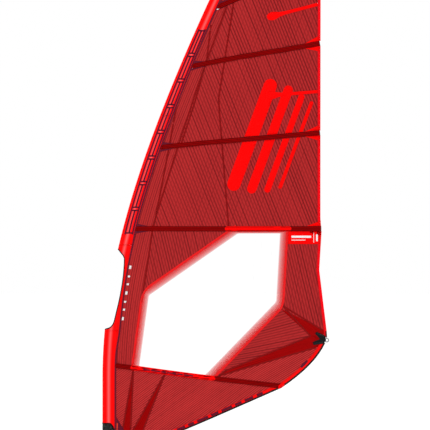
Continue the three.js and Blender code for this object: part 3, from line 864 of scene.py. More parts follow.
def new_look(name):
    tints = bpy.context.scene.sail_colours
    patch = (tints.patch, tints.patch_yarn)
    makers = {
        "body_film": lambda: film_cloth(name, tints.body, tints.yarn, BODY_WAYS),
        "luff_film": lambda: film_cloth(name, tints.luff, tints.yarn, LUFF_WAYS),
        "leech_film": lambda: film_cloth(name, tints.leech, tints.yarn, LEECH_WAYS),
        "foot_film": lambda: film_cloth(name, tints.foot, tints.yarn, FOOT_WAYS, even=0.8),
        "aft_foot_film": lambda: film_cloth(name, tints.foot, tints.yarn, AFT_FOOT_WAYS, even=0.8),
        "clew_film": lambda: film_cloth(name, tints.leech, tints.yarn, CLEW_WAYS),
        "clew_patch_film": lambda: film_cloth(name, *patch, CLEW_PATCH_WAYS, 0.0, 0.02),
        "tack_patch_film": lambda: film_cloth(name, *patch, TACK_PATCH_WAYS, 0.8, 0.015),
        # tone(255, 104, 104) is the colour of the sleeve's painted highlight
        "sleeve_cloth": lambda: sleeve_finish(name, tints.sleeve, tints.sleeve_shade, tone(255, 104, 104)),
        "band_cloth": lambda: woven_cloth(name, tints.band, tints.sleeve_shade, 0.005, 0.01, 0.4),
        "leech_tape_cloth": lambda: woven_cloth(name, tints.tape, tints.sleeve_shade, 0.004, 0.01, 0.4),
        "seam_tape_cloth": lambda: woven_cloth(name, tints.seam, tints.patch_yarn, 0.004, 0.0, 0.45),
        "window_tape_cloth": lambda: woven_cloth(
            name, tints.window_line, tints.sleeve_shade, 0.004, 0.01, 0.4),
        "binding_cloth": lambda: woven_cloth(name, tone(6, 6, 7), tone(26, 26, 28), 0.003, 0.05, 0.6),
        "purple_tape_cloth": lambda: woven_cloth(name, tints.purple, tone(60, 10, 22), 0.004, 0.01, 0.5),
        "red_print": lambda: printed(name, tints.print_red),
        "purple_print": lambda: printed(name, tints.purple),
        "white_print": lambda: printed(name, tone(238, 238, 238), 0.05),
        "orange_tab": lambda: woven_cloth(name, tone(225, 67, 45), tone(170, 40, 20), 0.003),
        "window_film": lambda: window_film(tints),
        "black_webbing": webbing_cloth,
        "fairing_pad": mottled_pad,
        "steel": lambda: metal(name, tone(150, 152, 155), 0.3),
        "screw_steel": lambda: metal(name, tone(176, 178, 182), 0.3),
        "black_plastic": lambda: moulded(name, tone(22, 22, 24)),
        "sheave_plastic": lambda: moulded(name, tone(222, 222, 216), 0.4, 0.2),
        "batten_rod": rod_fibre,
        "red_thread": lambda: thread(name, tone(96, 6, 8)),
        "bright_thread": lambda: thread(name, tone(205, 20, 24)),
        "black_thread": lambda: thread(name, tone(70, 70, 72)),
    }
    if name.startswith("pocket_cloth_"):
        (x0, z0), (x1, z1), _ = BATTENS[int(name[-1]) - 1]
        slope = math.degrees(math.atan2(z1 - z0, x1 - x0))
        return pocket_cloth(name, slope, tints.pocket, tints.pocket_shade)
    return makers[name]()


# ---- settings ----

def size(name, text, default, low=0.0, high=1.0):
    return FloatProperty(name=name, description=text, default=default, min=low, max=high,
                         unit="LENGTH", precision=4)


def tint(name, text, default):
    return FloatVectorProperty(name=name, description=text, default=default, size=3, min=0, max=1,
                               subtype="COLOR")


class SailSizes(bpy.types.PropertyGroup):
    cloth: size("Cloth", "Thickness of the panels' cloth", 0.0007)
    step: size("Mesh step", "Grid that the panels' mesh is cut along", 0.032, 0.01)
    ripple: size("Ripple", "Height of the cloth's slight ripples", 0.0016)
    tape: size("Seam tape", "Width of the tape over a seam", 0.013)
    window_tape: size("Window tape", "Width of the bright tape round the window", 0.017)
    zigzag: size("Zigzag", "Half the width of the zigzag stitching", 0.0032)
    binding: size("Binding", "Width of the black edge binding", 0.0105)
    graphic: size("Sleeve graphic", "Width of the lines printed on the sleeve", 0.012)


class SailColours(bpy.types.PropertyGroup):
    body: tint("Body", "Large body panels", tone(178, 40, 41))
    luff: tint("Luff", "Panels beside the sleeve", tone(178, 41, 42))
    leech: tint("Leech", "Panels beside the window", tone(175, 40, 41))
    foot: tint("Foot", "Foot panels", tone(206, 52, 52))
    yarn: tint("Yarn", "Yarns inside the film", tone(104, 16, 19))
    patch: tint("Patch", "Reinforcing patches", tone(160, 4, 5))
    patch_yarn: tint("Patch yarn", "Yarns of the patches", tone(104, 1, 2))
    pocket: tint("Pocket", "Batten pockets", tone(154, 0, 1))
    # colour of the painted shade in the pockets' grooves
    pocket_shade: tint("Pocket shade", "Grooves of the batten pockets", tone(78, 1, 2))
    seam: tint("Seam", "Tape over the seams", tone(140, 10, 12))
    sleeve: tint("Sleeve", "Luff sleeve", tone(255, 1, 1))
    # the sleeve's painted edge shade is mixed towards this colour too
    sleeve_shade: tint("Sleeve shade", "Darker places of the bright red cloth", tone(190, 2, 2))
    band: tint("Foot band", "Band along the foot", tone(250, 6, 6))
    tape: tint("Leech tape", "Tape along the leech", tone(250, 4, 22))
    print_red: tint("Red print", "Bright red prints", tone(250, 2, 2))
    purple: tint("Purple", "Dark tape and prints", tone(98, 22, 42))
    window_edge: tint("Window border", "Red that fades into the window", tone(216, 12, 14))
    window_line: tint("Window line", "Bright tape round the window", tone(232, 30, 33))


class StudioSettings(bpy.types.PropertyGroup):
    world: FloatProperty(name="Surround", description="Strength of the light from all round",
                         default=1.0, min=0, max=3)
    key: FloatProperty(name="Key light", description="Power of the large light",
                       default=150, min=0, unit="POWER")
    rim: FloatProperty(name="Rear light", description="Power of the light behind",
                       default=60, min=0, unit="POWER")
    floor: tint("Floor", "Colour of the floor", (0.92, 0.92, 0.915))


# ---- pieces ----

def sleeve_rows(bottom, top, step=0.03, inset=0.0, sides=44):
    """Rings of the sleeve's section; an inset moves them into the wall."""
    rows = []
    count = math.ceil((top - bottom) / step)
    for r in range(count + 1):
        z = bottom + (top - bottom) * r / count
        width, front, thin = sleeve_width(z), luff_front(z), 1 - SLEEVE_TAPER * z / HEAD_Z
        ring = []
        for k in range(sides):
            turn = 2 * math.pi * (k + 0.5) / sides
            s = 0.05 - 0.05 * math.cos(turn)
            half = sleeve_half(front + s * width / 0.1, z) / thin
            depth = min(inset, 0.7 * half) if s > NOSE else inset
            reach = half - depth if s > NOSE else half * (1 - inset / NOSE)
            across = reach * math.copysign(1, math.sin(turn))
            along = s if s > NOSE else NOSE - (NOSE - s) * (1 - inset / NOSE)
            ring.append((front + along * width / 0.1, -across * thin, z))
        rows.append(ring)
    return rows


def inside(outline, x, z):
    """True if the point is in a convex outline that runs anticlockwise."""
    return all((b[0] - a[0]) * (z - a[1]) - (b[1] - a[1]) * (x - a[0]) > 0
               for a, b in zip(outline, outline[1:] + outline[:1]))


def cut_away(piece, outline):
    """Removes from a walled piece what lies inside a convex outline seen from the side."""
    mesh = bmesh.new()
    mesh.from_mesh(piece.data)
    for a, b in zip(outline, outline[1:] + outline[:1]):
        normal = Vector((b[1] - a[1], 0, a[0] - b[0]))
        geometry = mesh.verts[:] + mesh.edges[:] + mesh.faces[:]
        bmesh.ops.bisect_plane(mesh, geom=geometry, dist=1e-6, plane_co=(a[0], 0, a[1]), plane_no=normal)
    middles = [(face, face.calc_center_median()) for face in mesh.faces]
    gone = [face for face, middle in middles if inside(outline, middle.x, middle.z)]
    bmesh.ops.delete(mesh, geom=gone, context="FACES")
    mesh.to_mesh(piece.data)


def wall_piece(name, rows, cutter, look):
    """A single-walled sleeve length, cut and then given its thickness."""
    shell = Shell()
    shell.loft(rows)
    mesh = bpy.data.meshes.new(name)
    mesh.from_pydata(shell.points, [], shell.faces)
    piece = bpy.data.objects.new(name, mesh)
    bpy.context.scene.collection.objects.link(piece)
    if cutter:
        cut_away(piece, cutter)
    solid = bmesh.new()
    solid.from_mesh(mesh)
    bmesh.ops.recalc_face_normals(solid, faces=solid.faces)
    solid.normal_update()
    solid.verts.index_update()
    area = sum(face.calc_area() for face in solid.faces)
    front = list(solid.verts)
    middles = [Vector((luff_front(v.co.z) + 0.04, 0, v.co.z)) for v in front]
    outward = sum(1 if (v.co - middle).dot(v.normal) > 0 else -1 for v, middle in zip(front, middles))
    if outward < 0:
        bmesh.ops.reverse_faces(solid, faces=solid.faces)
        solid.normal_update()
    closed = Shell()
    closed.points = [tuple(v.co) for v in front]
    for v in front:
        depth = min(SLEEVE_WALL, max(0.0003, 0.7 * abs(v.co.y))) if v.normal.x > -0.5 else SLEEVE_WALL
        closed.points.append(tuple(v.co - v.normal * depth))
    count = len(front)
    for face in solid.faces:
        ids = [v.index for v in face.verts]
        closed.face(ids)
        closed.face([i + count for i in reversed(ids)])
    for edge in solid.edges:
        if edge.is_boundary:
            loop = edge.link_loops[0]
            a, b = loop.vert.index, loop.link_loop_next.vert.index
            closed.face([b, a, a + count, b + count], rim=True)
    bpy.data.objects.remove(piece)
    bpy.data.meshes.remove(mesh)
    made = closed.made(name, look, "sleeve_cloth")
    return made, area


SLEEVES = (
    ("luff_sleeve_lower", 0.236, 1.025, TACK_CURVE),
    ("boom_cutout_strip", 1.025, 1.69, BOOM_CUTOUT),
    ("luff_sleeve_middle", 1.69, 2.7, None),
    ("luff_sleeve_top", 2.7, HEAD_Z, None),
)


JOIN_SHARES = (0.02, 0.08, 0.2, 0.4, 0.6, 0.8, 0.94)  # of the sleeve's width
JOIN_HEIGHTS = (1.6895, 2.6995)
SEAM_BOTTOM, SEAM_STEP, SEAM_POINTS = 0.24, 0.03, 132
SEAM_TAPE_WIDTH, SEAM_TAPE_SHIFT = 0.0135, 0.0015
SLEEVE_BINDING_RADIUS = 0.0038
GRAPHIC_BOTTOM, GRAPHIC_TOP, GRAPHIC_STEPS = 1.775, 3.375, 24
RAIL_SHARES, BAR_SHARES, POST_SHARE = (0.28, 0.84), (0.34, 0.58, 0.82), 0.56
FRAME_INSET = 0.012  # of a frame's bars from its ends


def edge_path(line):
    """The sleeve's cut edge along a line: up one side, over the nose and back down the other."""
    fine = [p for p in resampled(line, 0.004) if p[0] >= luff_front(p[1])]
    sides = [(x, -sleeve_half(x, z), z) for x, z in fine]
    return sides, [(x, -y, z) for x, y, z in sides]


class SAIL_OT_sleeve(bpy.types.Operator):
    """Makes the luff sleeve in four lengths, with its bindings, seams and printed lines"""
    bl_idname = "sail.sleeve"
    bl_label = "Luff sleeve"

    def execute(self, context):
        for node, bottom, top, cutter in SLEEVES:
            rows = sleeve_rows(bottom, top - GAP)
            piece, area = wall_piece(f"{node}_cloth", rows, cutter, look_of("sleeve_cloth"))
            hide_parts(*([node, "luff_sleeve_upper"] if node == "luff_sleeve_middle" else [node]))
            girth = 2.1 * max(sleeve_width(bottom), sleeve_width(top))
            length = math.dist((luff_front(bottom), bottom), (luff_front(top), top))
            min(area, girth * length)
        self.bindings()
        self.seams()
        self.graphic(context.scene.sail_sizes.graphic)
        return {"FINISHED"}

    def bindings(self):
        shell = Shell()
        for near, far in (edge_path(BOOM_CUTOUT[1:-1]), edge_path(TACK_CURVE[1:-1] + metres((-60, 304)))):
            swept(shell, near + far[::-1], SLEEVE_BINDING_RADIUS, 6)
        shell.made("sleeve_binding", look_of("binding_cloth"), "sleeve_cloth", tidy=True)

    def seams(self):
        heights = [SEAM_BOTTOM + SEAM_STEP * k for k in range(SEAM_POINTS)]
        middle = [(seam_x(z) + SEAM_TAPE_SHIFT, z) for z in heights]
        tape = flat_from(strip(middle, SEAM_TAPE_WIDTH), 0.003)
        shell = Shell().stick(tape, over_seam, *LAYERS["luff_seam_tape"])
        shell.made("luff_seam_tape", look_of("purple_tape_cloth"), "sleeve_cloth")
        stitches = Shell()
        for inset in (-0.0035, 0.0066):
            line = [(seam_x(z) + inset, z) for z in heights]
            stitches.stitch(line, over_seam, *STITCHING["luff_seam"])
        for height in JOIN_HEIGHTS:
            for offset in (-0.006, 0.006):
                z = height + offset
                line = [(luff_front(z) + share * sleeve_width(z), z) for share in JOIN_SHARES]
                stitches.stitch(line, on_sleeve, *STITCHING["sleeve_join"])
        stitches.made("sleeve_stitching", look_of("bright_thread"), "sleeve_cloth")

    def graphic(self, width):
        def spot(share, z):
            return luff_front(z) + share * sleeve_width(z), z

        shell = Shell()
        rise = GRAPHIC_TOP - GRAPHIC_BOTTOM
        heights = [GRAPHIC_BOTTOM + rise * k / GRAPHIC_STEPS for k in range(GRAPHIC_STEPS + 1)]
        for share in RAIL_SHARES:
            line = [spot(share, z) for z in heights]
            shell.stick(flat_from(strip(line, width), 0.006), on_sleeve, *LAYERS["sleeve_line"])
        for low, high in zip(heights[::3], heights[3::3]):
            for z in (low + FRAME_INSET, high - FRAME_INSET):
                bar = [spot(share, z) for share in BAR_SHARES]
                shell.stick(flat_from(strip(bar, width), 0.006), on_sleeve, *LAYERS["sleeve_line"])
            bar = [spot(POST_SHARE, z) for z in (low + FRAME_INSET, (low + high) / 2, high - FRAME_INSET)]
            shell.stick(flat_from(strip(bar, width), 0.006), on_sleeve, *LAYERS["sleeve_line"])
        shell.made("sleeve_printed_lines", look_of("purple_print"), "sleeve_cloth")


# each panel's finish and the slot that it goes in
PANELS = {
    "throat_panel": ("leech_film", "scrim_cloth"),
    "leech_panel": ("leech_film", "scrim_cloth"),
    "clew_patch_upper": ("clew_patch_film", "patch_cloth"),
    "clew_panel": ("clew_film", "scrim_cloth"),
    "clew_patch_lower": ("clew_patch_film", "patch_cloth"),
    "foot_panel_aft": ("aft_foot_film", "scrim_cloth"),
    "luff_panel_foot": ("foot_film", "scrim_cloth"),
    "tack_patch_front": ("tack_patch_film", "patch_cloth"),
    "foot_panel_front": ("foot_film", "scrim_cloth"),
    "tack_patch_aft": ("tack_patch_film", "patch_cloth"),
    "foot_panel_main": ("foot_film", "scrim_cloth"),
    **{f"luff_panel_{place}": ("luff_film", "scrim_cloth") for place in ("window", "lower", "middle", "upper")},
    **{f"body_panel_{place}": ("body_film", "scrim_cloth") for place in ("lower", "middle", "upper")},
    "head_panel": ("body_film", "scrim_cloth"),
}
EDGES = {
    "foot_band_tack": ("band_cloth", "band_cloth"), "foot_band_clew": ("band_cloth", "band_cloth"),
    **{f"leech_tape_{i}": ("leech_tape_cloth", "tape_cloth") for i in range(1, 6)},
}


def cloth_panel(node, look, slot, thickness, step):
    """A panel's cloth, cut to the CAD panel's outline and set to the sail's curve."""
    flat = flat_of(node, step)
    half = thickness / 2 - PANEL_LIFT
    piece = Shell().lay(flat, on_cloth(-1, half), on_cloth(1, half)).made(
        f"{node}_cloth", look_of(look), slot, replaces=[node])
    area = sum(face.calc_area() for face in flat.faces)
    width, length = flat_size([(v.co.x, v.co.z) for v in flat.verts])
    min(area, width * length)
    return piece


class SAIL_OT_panels(bpy.types.Operator):
    """Makes the film panels and patches of the sail's body"""
    bl_idname = "sail.panels"
    bl_label = "Panels"

    def execute(self, context):
        sizes = context.scene.sail_sizes
        for node, (look, slot) in PANELS.items():
            cloth_panel(node, look, slot, sizes.cloth, sizes.step)
        return {"FINISHED"}


WINDOW_LINES = (
    [(1.019, 1.84), *WINDOW_FORE, (0.2105, 0.736)],
    [(0.85, 0.671), *WINDOW_AFT, (1.418, 1.84)],
)


class SAIL_OT_window(bpy.types.Operator):
    """Makes the clear window with its bright tape"""
    bl_idname = "sail.window"
    bl_label = "Window"

    def execute(self, context):
        sizes = context.scene.sail_sizes
        cloth_panel("window_film", "window_film", "window_film", sizes.cloth * 0.7, sizes.step)
        tapes = Shell()
        for line in WINDOW_LINES:
            for piece in off_pockets(strip(line, sizes.window_tape, -0.003), (0, 1)):
                tapes.stick(flat_from(piece, 0.03), on_cloth, *LAYERS["window_tape"])
        tapes.made("window_tape", look_of("window_tape_cloth"), "band_cloth")
        return {"FINISHED"}


class SAIL_OT_edges(bpy.types.Operator):
    """Makes the foot band, the leech tape and the black bindings"""
    bl_idname = "sail.edges"
    bl_label = "Edges"

    def execute(self, context):
        sizes = context.scene.sail_sizes
        for node, (look, slot) in EDGES.items():
            cloth_panel(node, look, slot, sizes.cloth * 1.3, sizes.step)
        shell = Shell()
        line = [p for p in resampled(FOOT_OUTER, 0.02) if p[0] > 0.079]
        rows = []
        for (x, z), (x1, z1), (x2, z2) in zip(line, shifted(line, -0.0022), shifted(line, sizes.binding)):
            y = cloth_y(x, z)
            rows.append([(x1, y - 0.0007, z1), (x, y - 0.0016, z), (x2, y - 0.0015, z2), (x2, y + 0.0015, z2),
                         (x, y + 0.0016, z), (x1, y + 0.0007, z1)])
        shell.close(shell.loft(rows), len(rows), 6, flip=True)
        shell.made("foot_binding", look_of("binding_cloth"), "band_cloth", tidy=True)
        stitches = Shell()
        stitches.stitch(shifted(line, sizes.binding * 0.6), on_cloth, *STITCHING["foot_binding"])
        stitches.made("foot_binding_stitching", look_of("black_thread"), "band_cloth")
        rows_of_thread = Shell()
        inner = shifted(LEECH_OUTER, 0.0185)
        rows_of_thread.stitch(inner, on_cloth, *STITCHING["edge"], EDGE_ZIGZAG, ZIGZAG_GAP)
        band = [p for p in resampled(shifted(FOOT_OUTER, 0.0305), 0.02) if p[0] > 0.09]
        rows_of_thread.stitch(band, on_cloth, *STITCHING["edge"], EDGE_ZIGZAG, ZIGZAG_GAP)
        rows_of_thread.made("edge_stitching", look_of("red_thread"), "tape_cloth")
        return {"FINISHED"}


def spine(batten, along):
    """The point at a length along a batten's middle line, which is straight near its aft end."""
    (x0, z0), (x1, z1), _ = batten
    length = math.hypot(x1 - x0, z1 - z0)
    x, z = x0 + (x1 - x0) * along / length, z0 + (z1 - z0) * along / length
    bend = length - STRAIGHT_END
    if along <= bend:
        return x, sail_y(x, z), z
    t = bend / length
    start = sail_y(x0 + (x1 - x0) * t, z0 + (z1 - z0) * t)
    return x, start + (sail_y(x1, z1) - start) * (along - bend) / STRAIGHT_END, z


def pocket_rings(batten, count, inner):
    """Sections of a pocket along its length, at its outside or its inside."""
    width = batten[2]
    forward, rise, length = direction(*batten[:2])
    edge, tube = width / 2 + HEM_LAP, width / 2 - POCKET_HEM
    steps = [-edge, -tube] + [tube * math.sin(math.radians(a)) for a in range(-75, 90, 15)] + [tube, edge]
    scale = (tube - POCKET_WALL) / edge if inner else 1.0
    rings = []
    for r in range(count + 1):
        x, y, z = spine(batten, length * r / count)
        ring = []
        for side in (1, -1):
            for step in steps if side > 0 else steps[::-1]:
                across = step * scale
                half = pocket_profile(across, width) - (POCKET_WALL if inner else 0.0)
                ring.append((x - across * rise, y + side * half, z + across * forward))
        rings.append(ring)
    return rings


class SAIL_OT_pockets(bpy.types.Operator):
    """Makes the batten pockets with their stitching, and the mini battens near the leech"""
    bl_idname = "sail.pockets"
    bl_label = "Batten pockets"

    def execute(self, context):
        stitches = Shell()
        for number, batten in enumerate(BATTENS, 1):
            count = round(math.dist(*batten[:2]) / 0.03)
            shell = Shell().walls(pocket_rings(batten, count, False), pocket_rings(batten, count, True))
            self.plug(shell, batten)
            shell.stick(flat_from(self.fore_end(batten), 0.006), over_pockets, *LAYERS["pocket_end"])
            shell.made(f"batten_pocket_{number}_cloth", look_of(f"pocket_cloth_{number}"), "pocket_cloth",
                       replaces=[f"batten_pocket_{number}"], tidy=True)
            for side in (1, -1):
                line = shifted([batten[0], batten[1]], side * (batten[2] / 2 - 0.0019))
                stitches.stitch(line, over_pockets, *STITCHING["pocket"])
        stitches.made("pocket_stitching", look_of("red_thread"), "pocket_cloth")
        for name, fore, aft in MINI_BATTENS:
            self.mini_batten(name, fore, aft)
        return {"FINISHED"}

    def fore_end(self, batten):
        """The outline of the cloth that carries a pocket on to the sleeve's seam."""
        (x0, z0), (x1, z1), width = batten
        slope, half = (z1 - z0) / (x1 - x0), width / 2 + HEM_LAP
        seam = [(seam_x(z) + 0.0015, z) for z in (z0 - half, z0, z0 + half)]
        return seam + [(x0 + 0.004 - half * slope, z0 + half), (x0 + 0.004 + half * slope, z0 - half)]

    def plug(self, shell, batten):
        """The drilled plug near the pocket's aft end, where the tensioner screw turns."""
        forward, rise, length = direction(*batten[:2])
        reach, half = batten[2] / 2 - POCKET_HEM - POCKET_WALL, POCKET_HALF - POCKET_WALL
        outer, inner = [], []
        for along in (length - 0.032, length - 0.0095):
            x, y, z = spine(batten, along)
            rings = ([], [])
            for k in range(24):
                turn = 2 * math.pi * k / 24
                wide, high = reach * math.cos(turn), half * math.sin(turn)
                stretch = 0.92 / max(abs(math.cos(turn)), abs(math.sin(turn)))
                for ring, (a, b) in zip(rings, ((wide * stretch, high * stretch * 0.9),
                                                (0.0032 * math.cos(turn), 0.0032 * math.sin(turn)))):
                    ring.append((x - a * rise, y + b, z + a * forward))
            outer.append(rings[0])
            inner.append(rings[1])
        shell.walls(outer, inner)

    def mini_batten(self, name, fore, aft):
        """A short batten in a bright teardrop pocket."""
        dx, dz, length = direction(fore, aft)
        left = [(0.0, 0.0), (0.006, 0.008), (0.02, 0.0105), (0.1, 0.0108), (0.2, 0.0105), (length, 0.0098)]
        rows = []
        for r in range(33):
            along = length * r / 32
            wide = next(w0 + (w1 - w0) * (along - a0) / (a1 - a0)
                        for (a0, w0), (a1, w1) in zip(left, left[1:]) if along <= a1 + 1e-9)
            high = 0.0035 * min(1.0, 0.25 + along / 0.03)
            x, z = fore[0] + dx * along, fore[1] + dz * along
            y = cloth_y(x, z)
            turns = [2 * math.pi * k / 16 for k in range(16)]
            rows.append([(x - wide * math.cos(t) * dz, y + high * math.sin(t), z + wide * math.cos(t) * dx)
                         for t in turns])
        shell = Shell()
        shell.close(shell.loft(rows), len(rows), 16, flip=True)
        shell.made(f"mini_batten_{name}_cloth", look_of("red_print"), "pocket_cloth",
                   replaces=[f"mini_batten_{name}"], tidy=True)


class SAIL_OT_battens(bpy.types.Operator):
    """Gives the batten rods and tensioner screws their finish"""
    bl_idname = "sail.battens"
    bl_label = "Battens and screws"

    def execute(self, context):
        for number in range(1, 6):
            dress(f"batten_{number}", "batten_rod")
            dress(f"tensioner_screw_{number}", "screw_steel")
        return {"FINISHED"}


def dress(node, look):
    """Gives a CAD piece that stays a better material."""
    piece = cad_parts[node]
    piece.data.materials.clear()
    piece.data.materials.append(look_of(look))


SEAM_LINES = {
    "luff_panels": LUFF_PANEL_SEAM[1:],
    "luff_second": metres((584, 2457), (700, 2817), (790, 3143), (823, 3409)),
    "luff_third": metres((378, 1846), (446, 2192), (503, 2496), (560, 2808)),
    "body": metres((999, 3580), (882, 2831), (887, 2746), (949, 1966), (959, 1841)),
    "clew_upper": metres((1384, 1217), (1599, 982)),
    "clew_upper_back": metres((1384, 1217), (1690, 1031)),
    "clew_lower": metres((940, 718), (1599, 982)),
    "clew_foot": metres((883, 677), (1640, 893)),
    "clew_front": metres((883, 677), (940, 718)),
    "tack_1": metres((219, 735), (133, 250)), "tack_2": metres((219, 735), (195, 250)),
    "tack_3": metres((472, 708), (215, 250)), "tack_4": metres((472, 708), (293, 250)),
}


class SAIL_OT_seams(bpy.types.Operator):
    """Makes the seam tapes and their zigzag stitching"""
    bl_idname = "sail.seams"
    bl_label = "Seams"

    def execute(self, context):
        sizes = context.scene.sail_sizes
        tapes, stitches = Shell(), Shell()
        for name, line in SEAM_LINES.items():
            fine = resampled(line, 0.03) if name in ("clew_upper", "tack_1") else line
            for piece in off_pockets(strip(fine, sizes.tape), range(5)):
                tapes.stick(flat_from(piece, 0.05), on_cloth, *LAYERS["seam_tape"])
            points = [p for p in resampled(line, 0.009) if pocket_height(*p) == PANEL_LIFT]
            runs, run = [], []
            for point in points:
                if run and math.dist(run[-1], point) > 0.02:
                    runs.append(run)
                    run = []
                run.append(point)
            for run in runs + [run]:
                if len(run) > 2:
                    stitches.stitch(run, on_cloth, *STITCHING["seam"], sizes.zigzag, ZIGZAG_GAP)
        tapes.made("seam_tapes", look_of("seam_tape_cloth"), "scrim_cloth")
        stitches.made("seam_stitching", look_of("red_thread"), "scrim_cloth")
        return {"FINISHED"}


BODY_BARS = (
    ((1.000, 2.165), (1.285, 2.935), 0.104), ((1.140, 2.130), (1.425, 2.900), 0.074),
    ((1.262, 2.125), (1.528, 2.845), 0.050), ((1.362, 2.145), (1.606, 2.800), 0.029),
)
TRIM_MARKS = (
    (0.193, 1.519, 0.026), (0.183, 1.448, 0.015), (0.174, 1.387, 0.015), (0.163, 1.319, 0.026),
    (0.153, 1.25, 0.015), (0.144, 1.189, 0.015), (0.134, 1.119, 0.026),
)


POCKET_STRIPS = ((1, 0.948, 1.431, 0.037, 0.001), (0, 0.214, 0.838, 0.039, 0.001))
KINK_CAP = metres((1345, 571.5), (1372, 579), (1398, 598.5), (1392, 612), (1368, 613), (1349, 600))
# patches round the pockets' fore ends: distances along the batten and across it
POCKET_PATCH = ((0.0, 0.040), (0.0, -0.040), (0.095, -0.0195), (0.12, 0.0), (0.095, 0.0195))
LOWEST_POCKET_PATCH = ((0.0, 0.019), (0.0, -0.019), (0.05, -0.016), (0.06, 0.0), (0.05, 0.016))
TACK_PATCH = metres((85, 351), (144, 250), (176, 170), (168, 112), (88, 84))
FOOT_MARKS = (
    (0.56, 0.62), (0.645, 0.69), (0.715, 0.8), (0.825, 0.88), (0.905, 0.985), (1.01, 1.06), (1.085, 1.15),
    (1.18, 1.225),
)
POCKET_MARKS = ((0.30, 0.345), (0.36, 0.425), (0.44, 0.47), (0.485, 0.55), (0.565, 0.6), (0.615, 0.68))
CLEW_FOOT_BAR = ((1.53, 0.746), (1.568, 0.786), 0.02)
LEECH_TRIANGLE = (0.165, 0.062)  # length along the batten and half its height
DROP_OUTLINE = (  # half the bright drop round a mini batten: along it and across it
    (-0.030, 0.0), (-0.024, 0.018), (-0.008, 0.029), (0.012, 0.033), (0.035, 0.030), (0.075, 0.018),
    (0.12, 0.0135), (0.381, 0.0125),
)
LABEL = metres((1424, 1700), (1676, 1700), (1682, 1800), (1424, 1800))
LABEL_BARS = (
    ((1450, 1749), (1604, 1766)), ((1450, 1729), (1560, 1734)), ((1622, 1712), (1626, 1788)),
    ((1642, 1722), (1656, 1776)),
)
TRIM_LEAN, TRIM_HALF = 0.17, 0.0085  # how far a trim mark leans, and half its width


def along_batten(number, start, end, width, offset=0.0):
    """A round-ended bar on a pocket, from one X to another."""
    batten = BATTENS[number]
    a, b = [(x, batten_height(batten, x) + offset) for x in (start, end)]
    return rounded_bar(a, b, width)


class SAIL_OT_prints(bpy.types.Operator):
    """Makes the bright bars, reinforcements at the battens, trim marks and label"""
    bl_idname = "sail.prints"
    bl_label = "Prints and patches"

    def execute(self, context):
        red = Shell()
        for a, b, width in BODY_BARS:
            for piece in off_pockets(rounded_bar(a, b, width), [2]):
                red.stick(flat_from(piece), on_cloth, *LAYERS["body_bar"])
        for number, batten in enumerate(BATTENS[1:], 1):
            (x1, z1), (reach, half) = batten[1], LEECH_TRIANGLE
            aft = x1 - 0.004
            triangle = [(aft - reach, batten_height(batten, aft - reach)), (aft, z1 - half), (aft, z1 + half)]
            for piece in off_pockets(triangle, [number]):
                red.stick(flat_from(piece), on_cloth, *LAYERS["patch"])
        for name, fore, aft in MINI_BATTENS:
            dx, dz, _ = direction(fore, aft)
            outline = [*DROP_OUTLINE, *((a, -w) for a, w in DROP_OUTLINE[:0:-1])]
            drop = [(fore[0] + a * dx - w * dz, fore[1] + a * dz + w * dx) for a, w in outline]
            red.stick(flat_from(drop), on_cloth, *LAYERS["drop"])
        red.made("red_printed_bars", look_of("red_print"), "scrim_cloth")
        self.pocket_prints()
        self.purple_patches()
        self.label()
        return {"FINISHED"}

    def pocket_prints(self):
        bright = Shell()
        for strip_place in POCKET_STRIPS:
            bright.stick(flat_from(along_batten(*strip_place), 0.01), over_pockets, *LAYERS["pocket_strip"])
        bright.stick(flat_from(KINK_CAP, 0.006), over_pockets, *LAYERS["kink_cap"])
        bright.made("pocket_red_strips", look_of("red_print"), "pocket_cloth")

    def purple_patches(self):
        """Patches at the pockets' fore ends and the tack, and marks on the foot band and lowest pocket."""
        purple = Shell()
        for number, batten in enumerate(BATTENS):
            (x0, z0), (dx, dz, _) = batten[0], direction(*batten[:2])
            outline = POCKET_PATCH if number else LOWEST_POCKET_PATCH
            ends = [(x0 + a * dx - w * dz, z0 + a * dz + w * dx) for a, w in outline]
            ends = [(seam_x(z) - 0.001, z) if k < 2 else (x, z) for k, (x, z) in enumerate(ends)]
            for piece in off_pockets(ends, [number]):
                purple.stick(flat_from(piece, 0.008), on_cloth, *LAYERS["pocket_patch"])
        purple.stick(flat_from(TACK_PATCH), on_cloth, *LAYERS["patch"])
        (x0, z0), (x1, z1) = shifted(FOOT_OUTER[:2], 0.0215)
        for ends in FOOT_MARKS:
            line = [(x, z0 + (z1 - z0) * (x - x0) / (x1 - x0)) for x in ends]
            purple.stick(flat_from(strip(line, 0.0195)), on_cloth, *LAYERS["foot_mark"])
        purple.stick(flat_from(rounded_bar(*CLEW_FOOT_BAR)), on_cloth, *LAYERS["foot_mark"])
        for start, end in POCKET_MARKS:
            mark = flat_from(along_batten(0, start, end, 0.011), 0.006)
            purple.stick(mark, over_pockets, *LAYERS["pocket_mark"])
        purple.made("purple_patches", look_of("purple_print"), "patch_cloth")

    def label(self):
        red, white = Shell(), Shell()
        red.stick(flat_from(LABEL), on_cloth, *LAYERS["patch"])
        red.made("label_patch", look_of("red_print"), "patch_cloth")
        for (x0, z0), (x1, z1) in LABEL_BARS:
            outline = metres((x0, z0), (x1, z0), (x1, z1), (x0, z1))
            white.stick(flat_from(outline), on_cloth, *LAYERS["label_bar"])
        for x, z, height in TRIM_MARKS:
            half, lean = height / 2, TRIM_LEAN * height / 2
            outline = [(x - TRIM_HALF - lean, z - half), (x + TRIM_HALF - lean, z - half),
                       (x + TRIM_HALF + lean, z + half), (x - TRIM_HALF + lean, z + half)]
            white.stick(flat_from(outline), on_cloth, *LAYERS["trim_mark"])
        white.made("white_marks", look_of("white_print"), "patch_cloth")


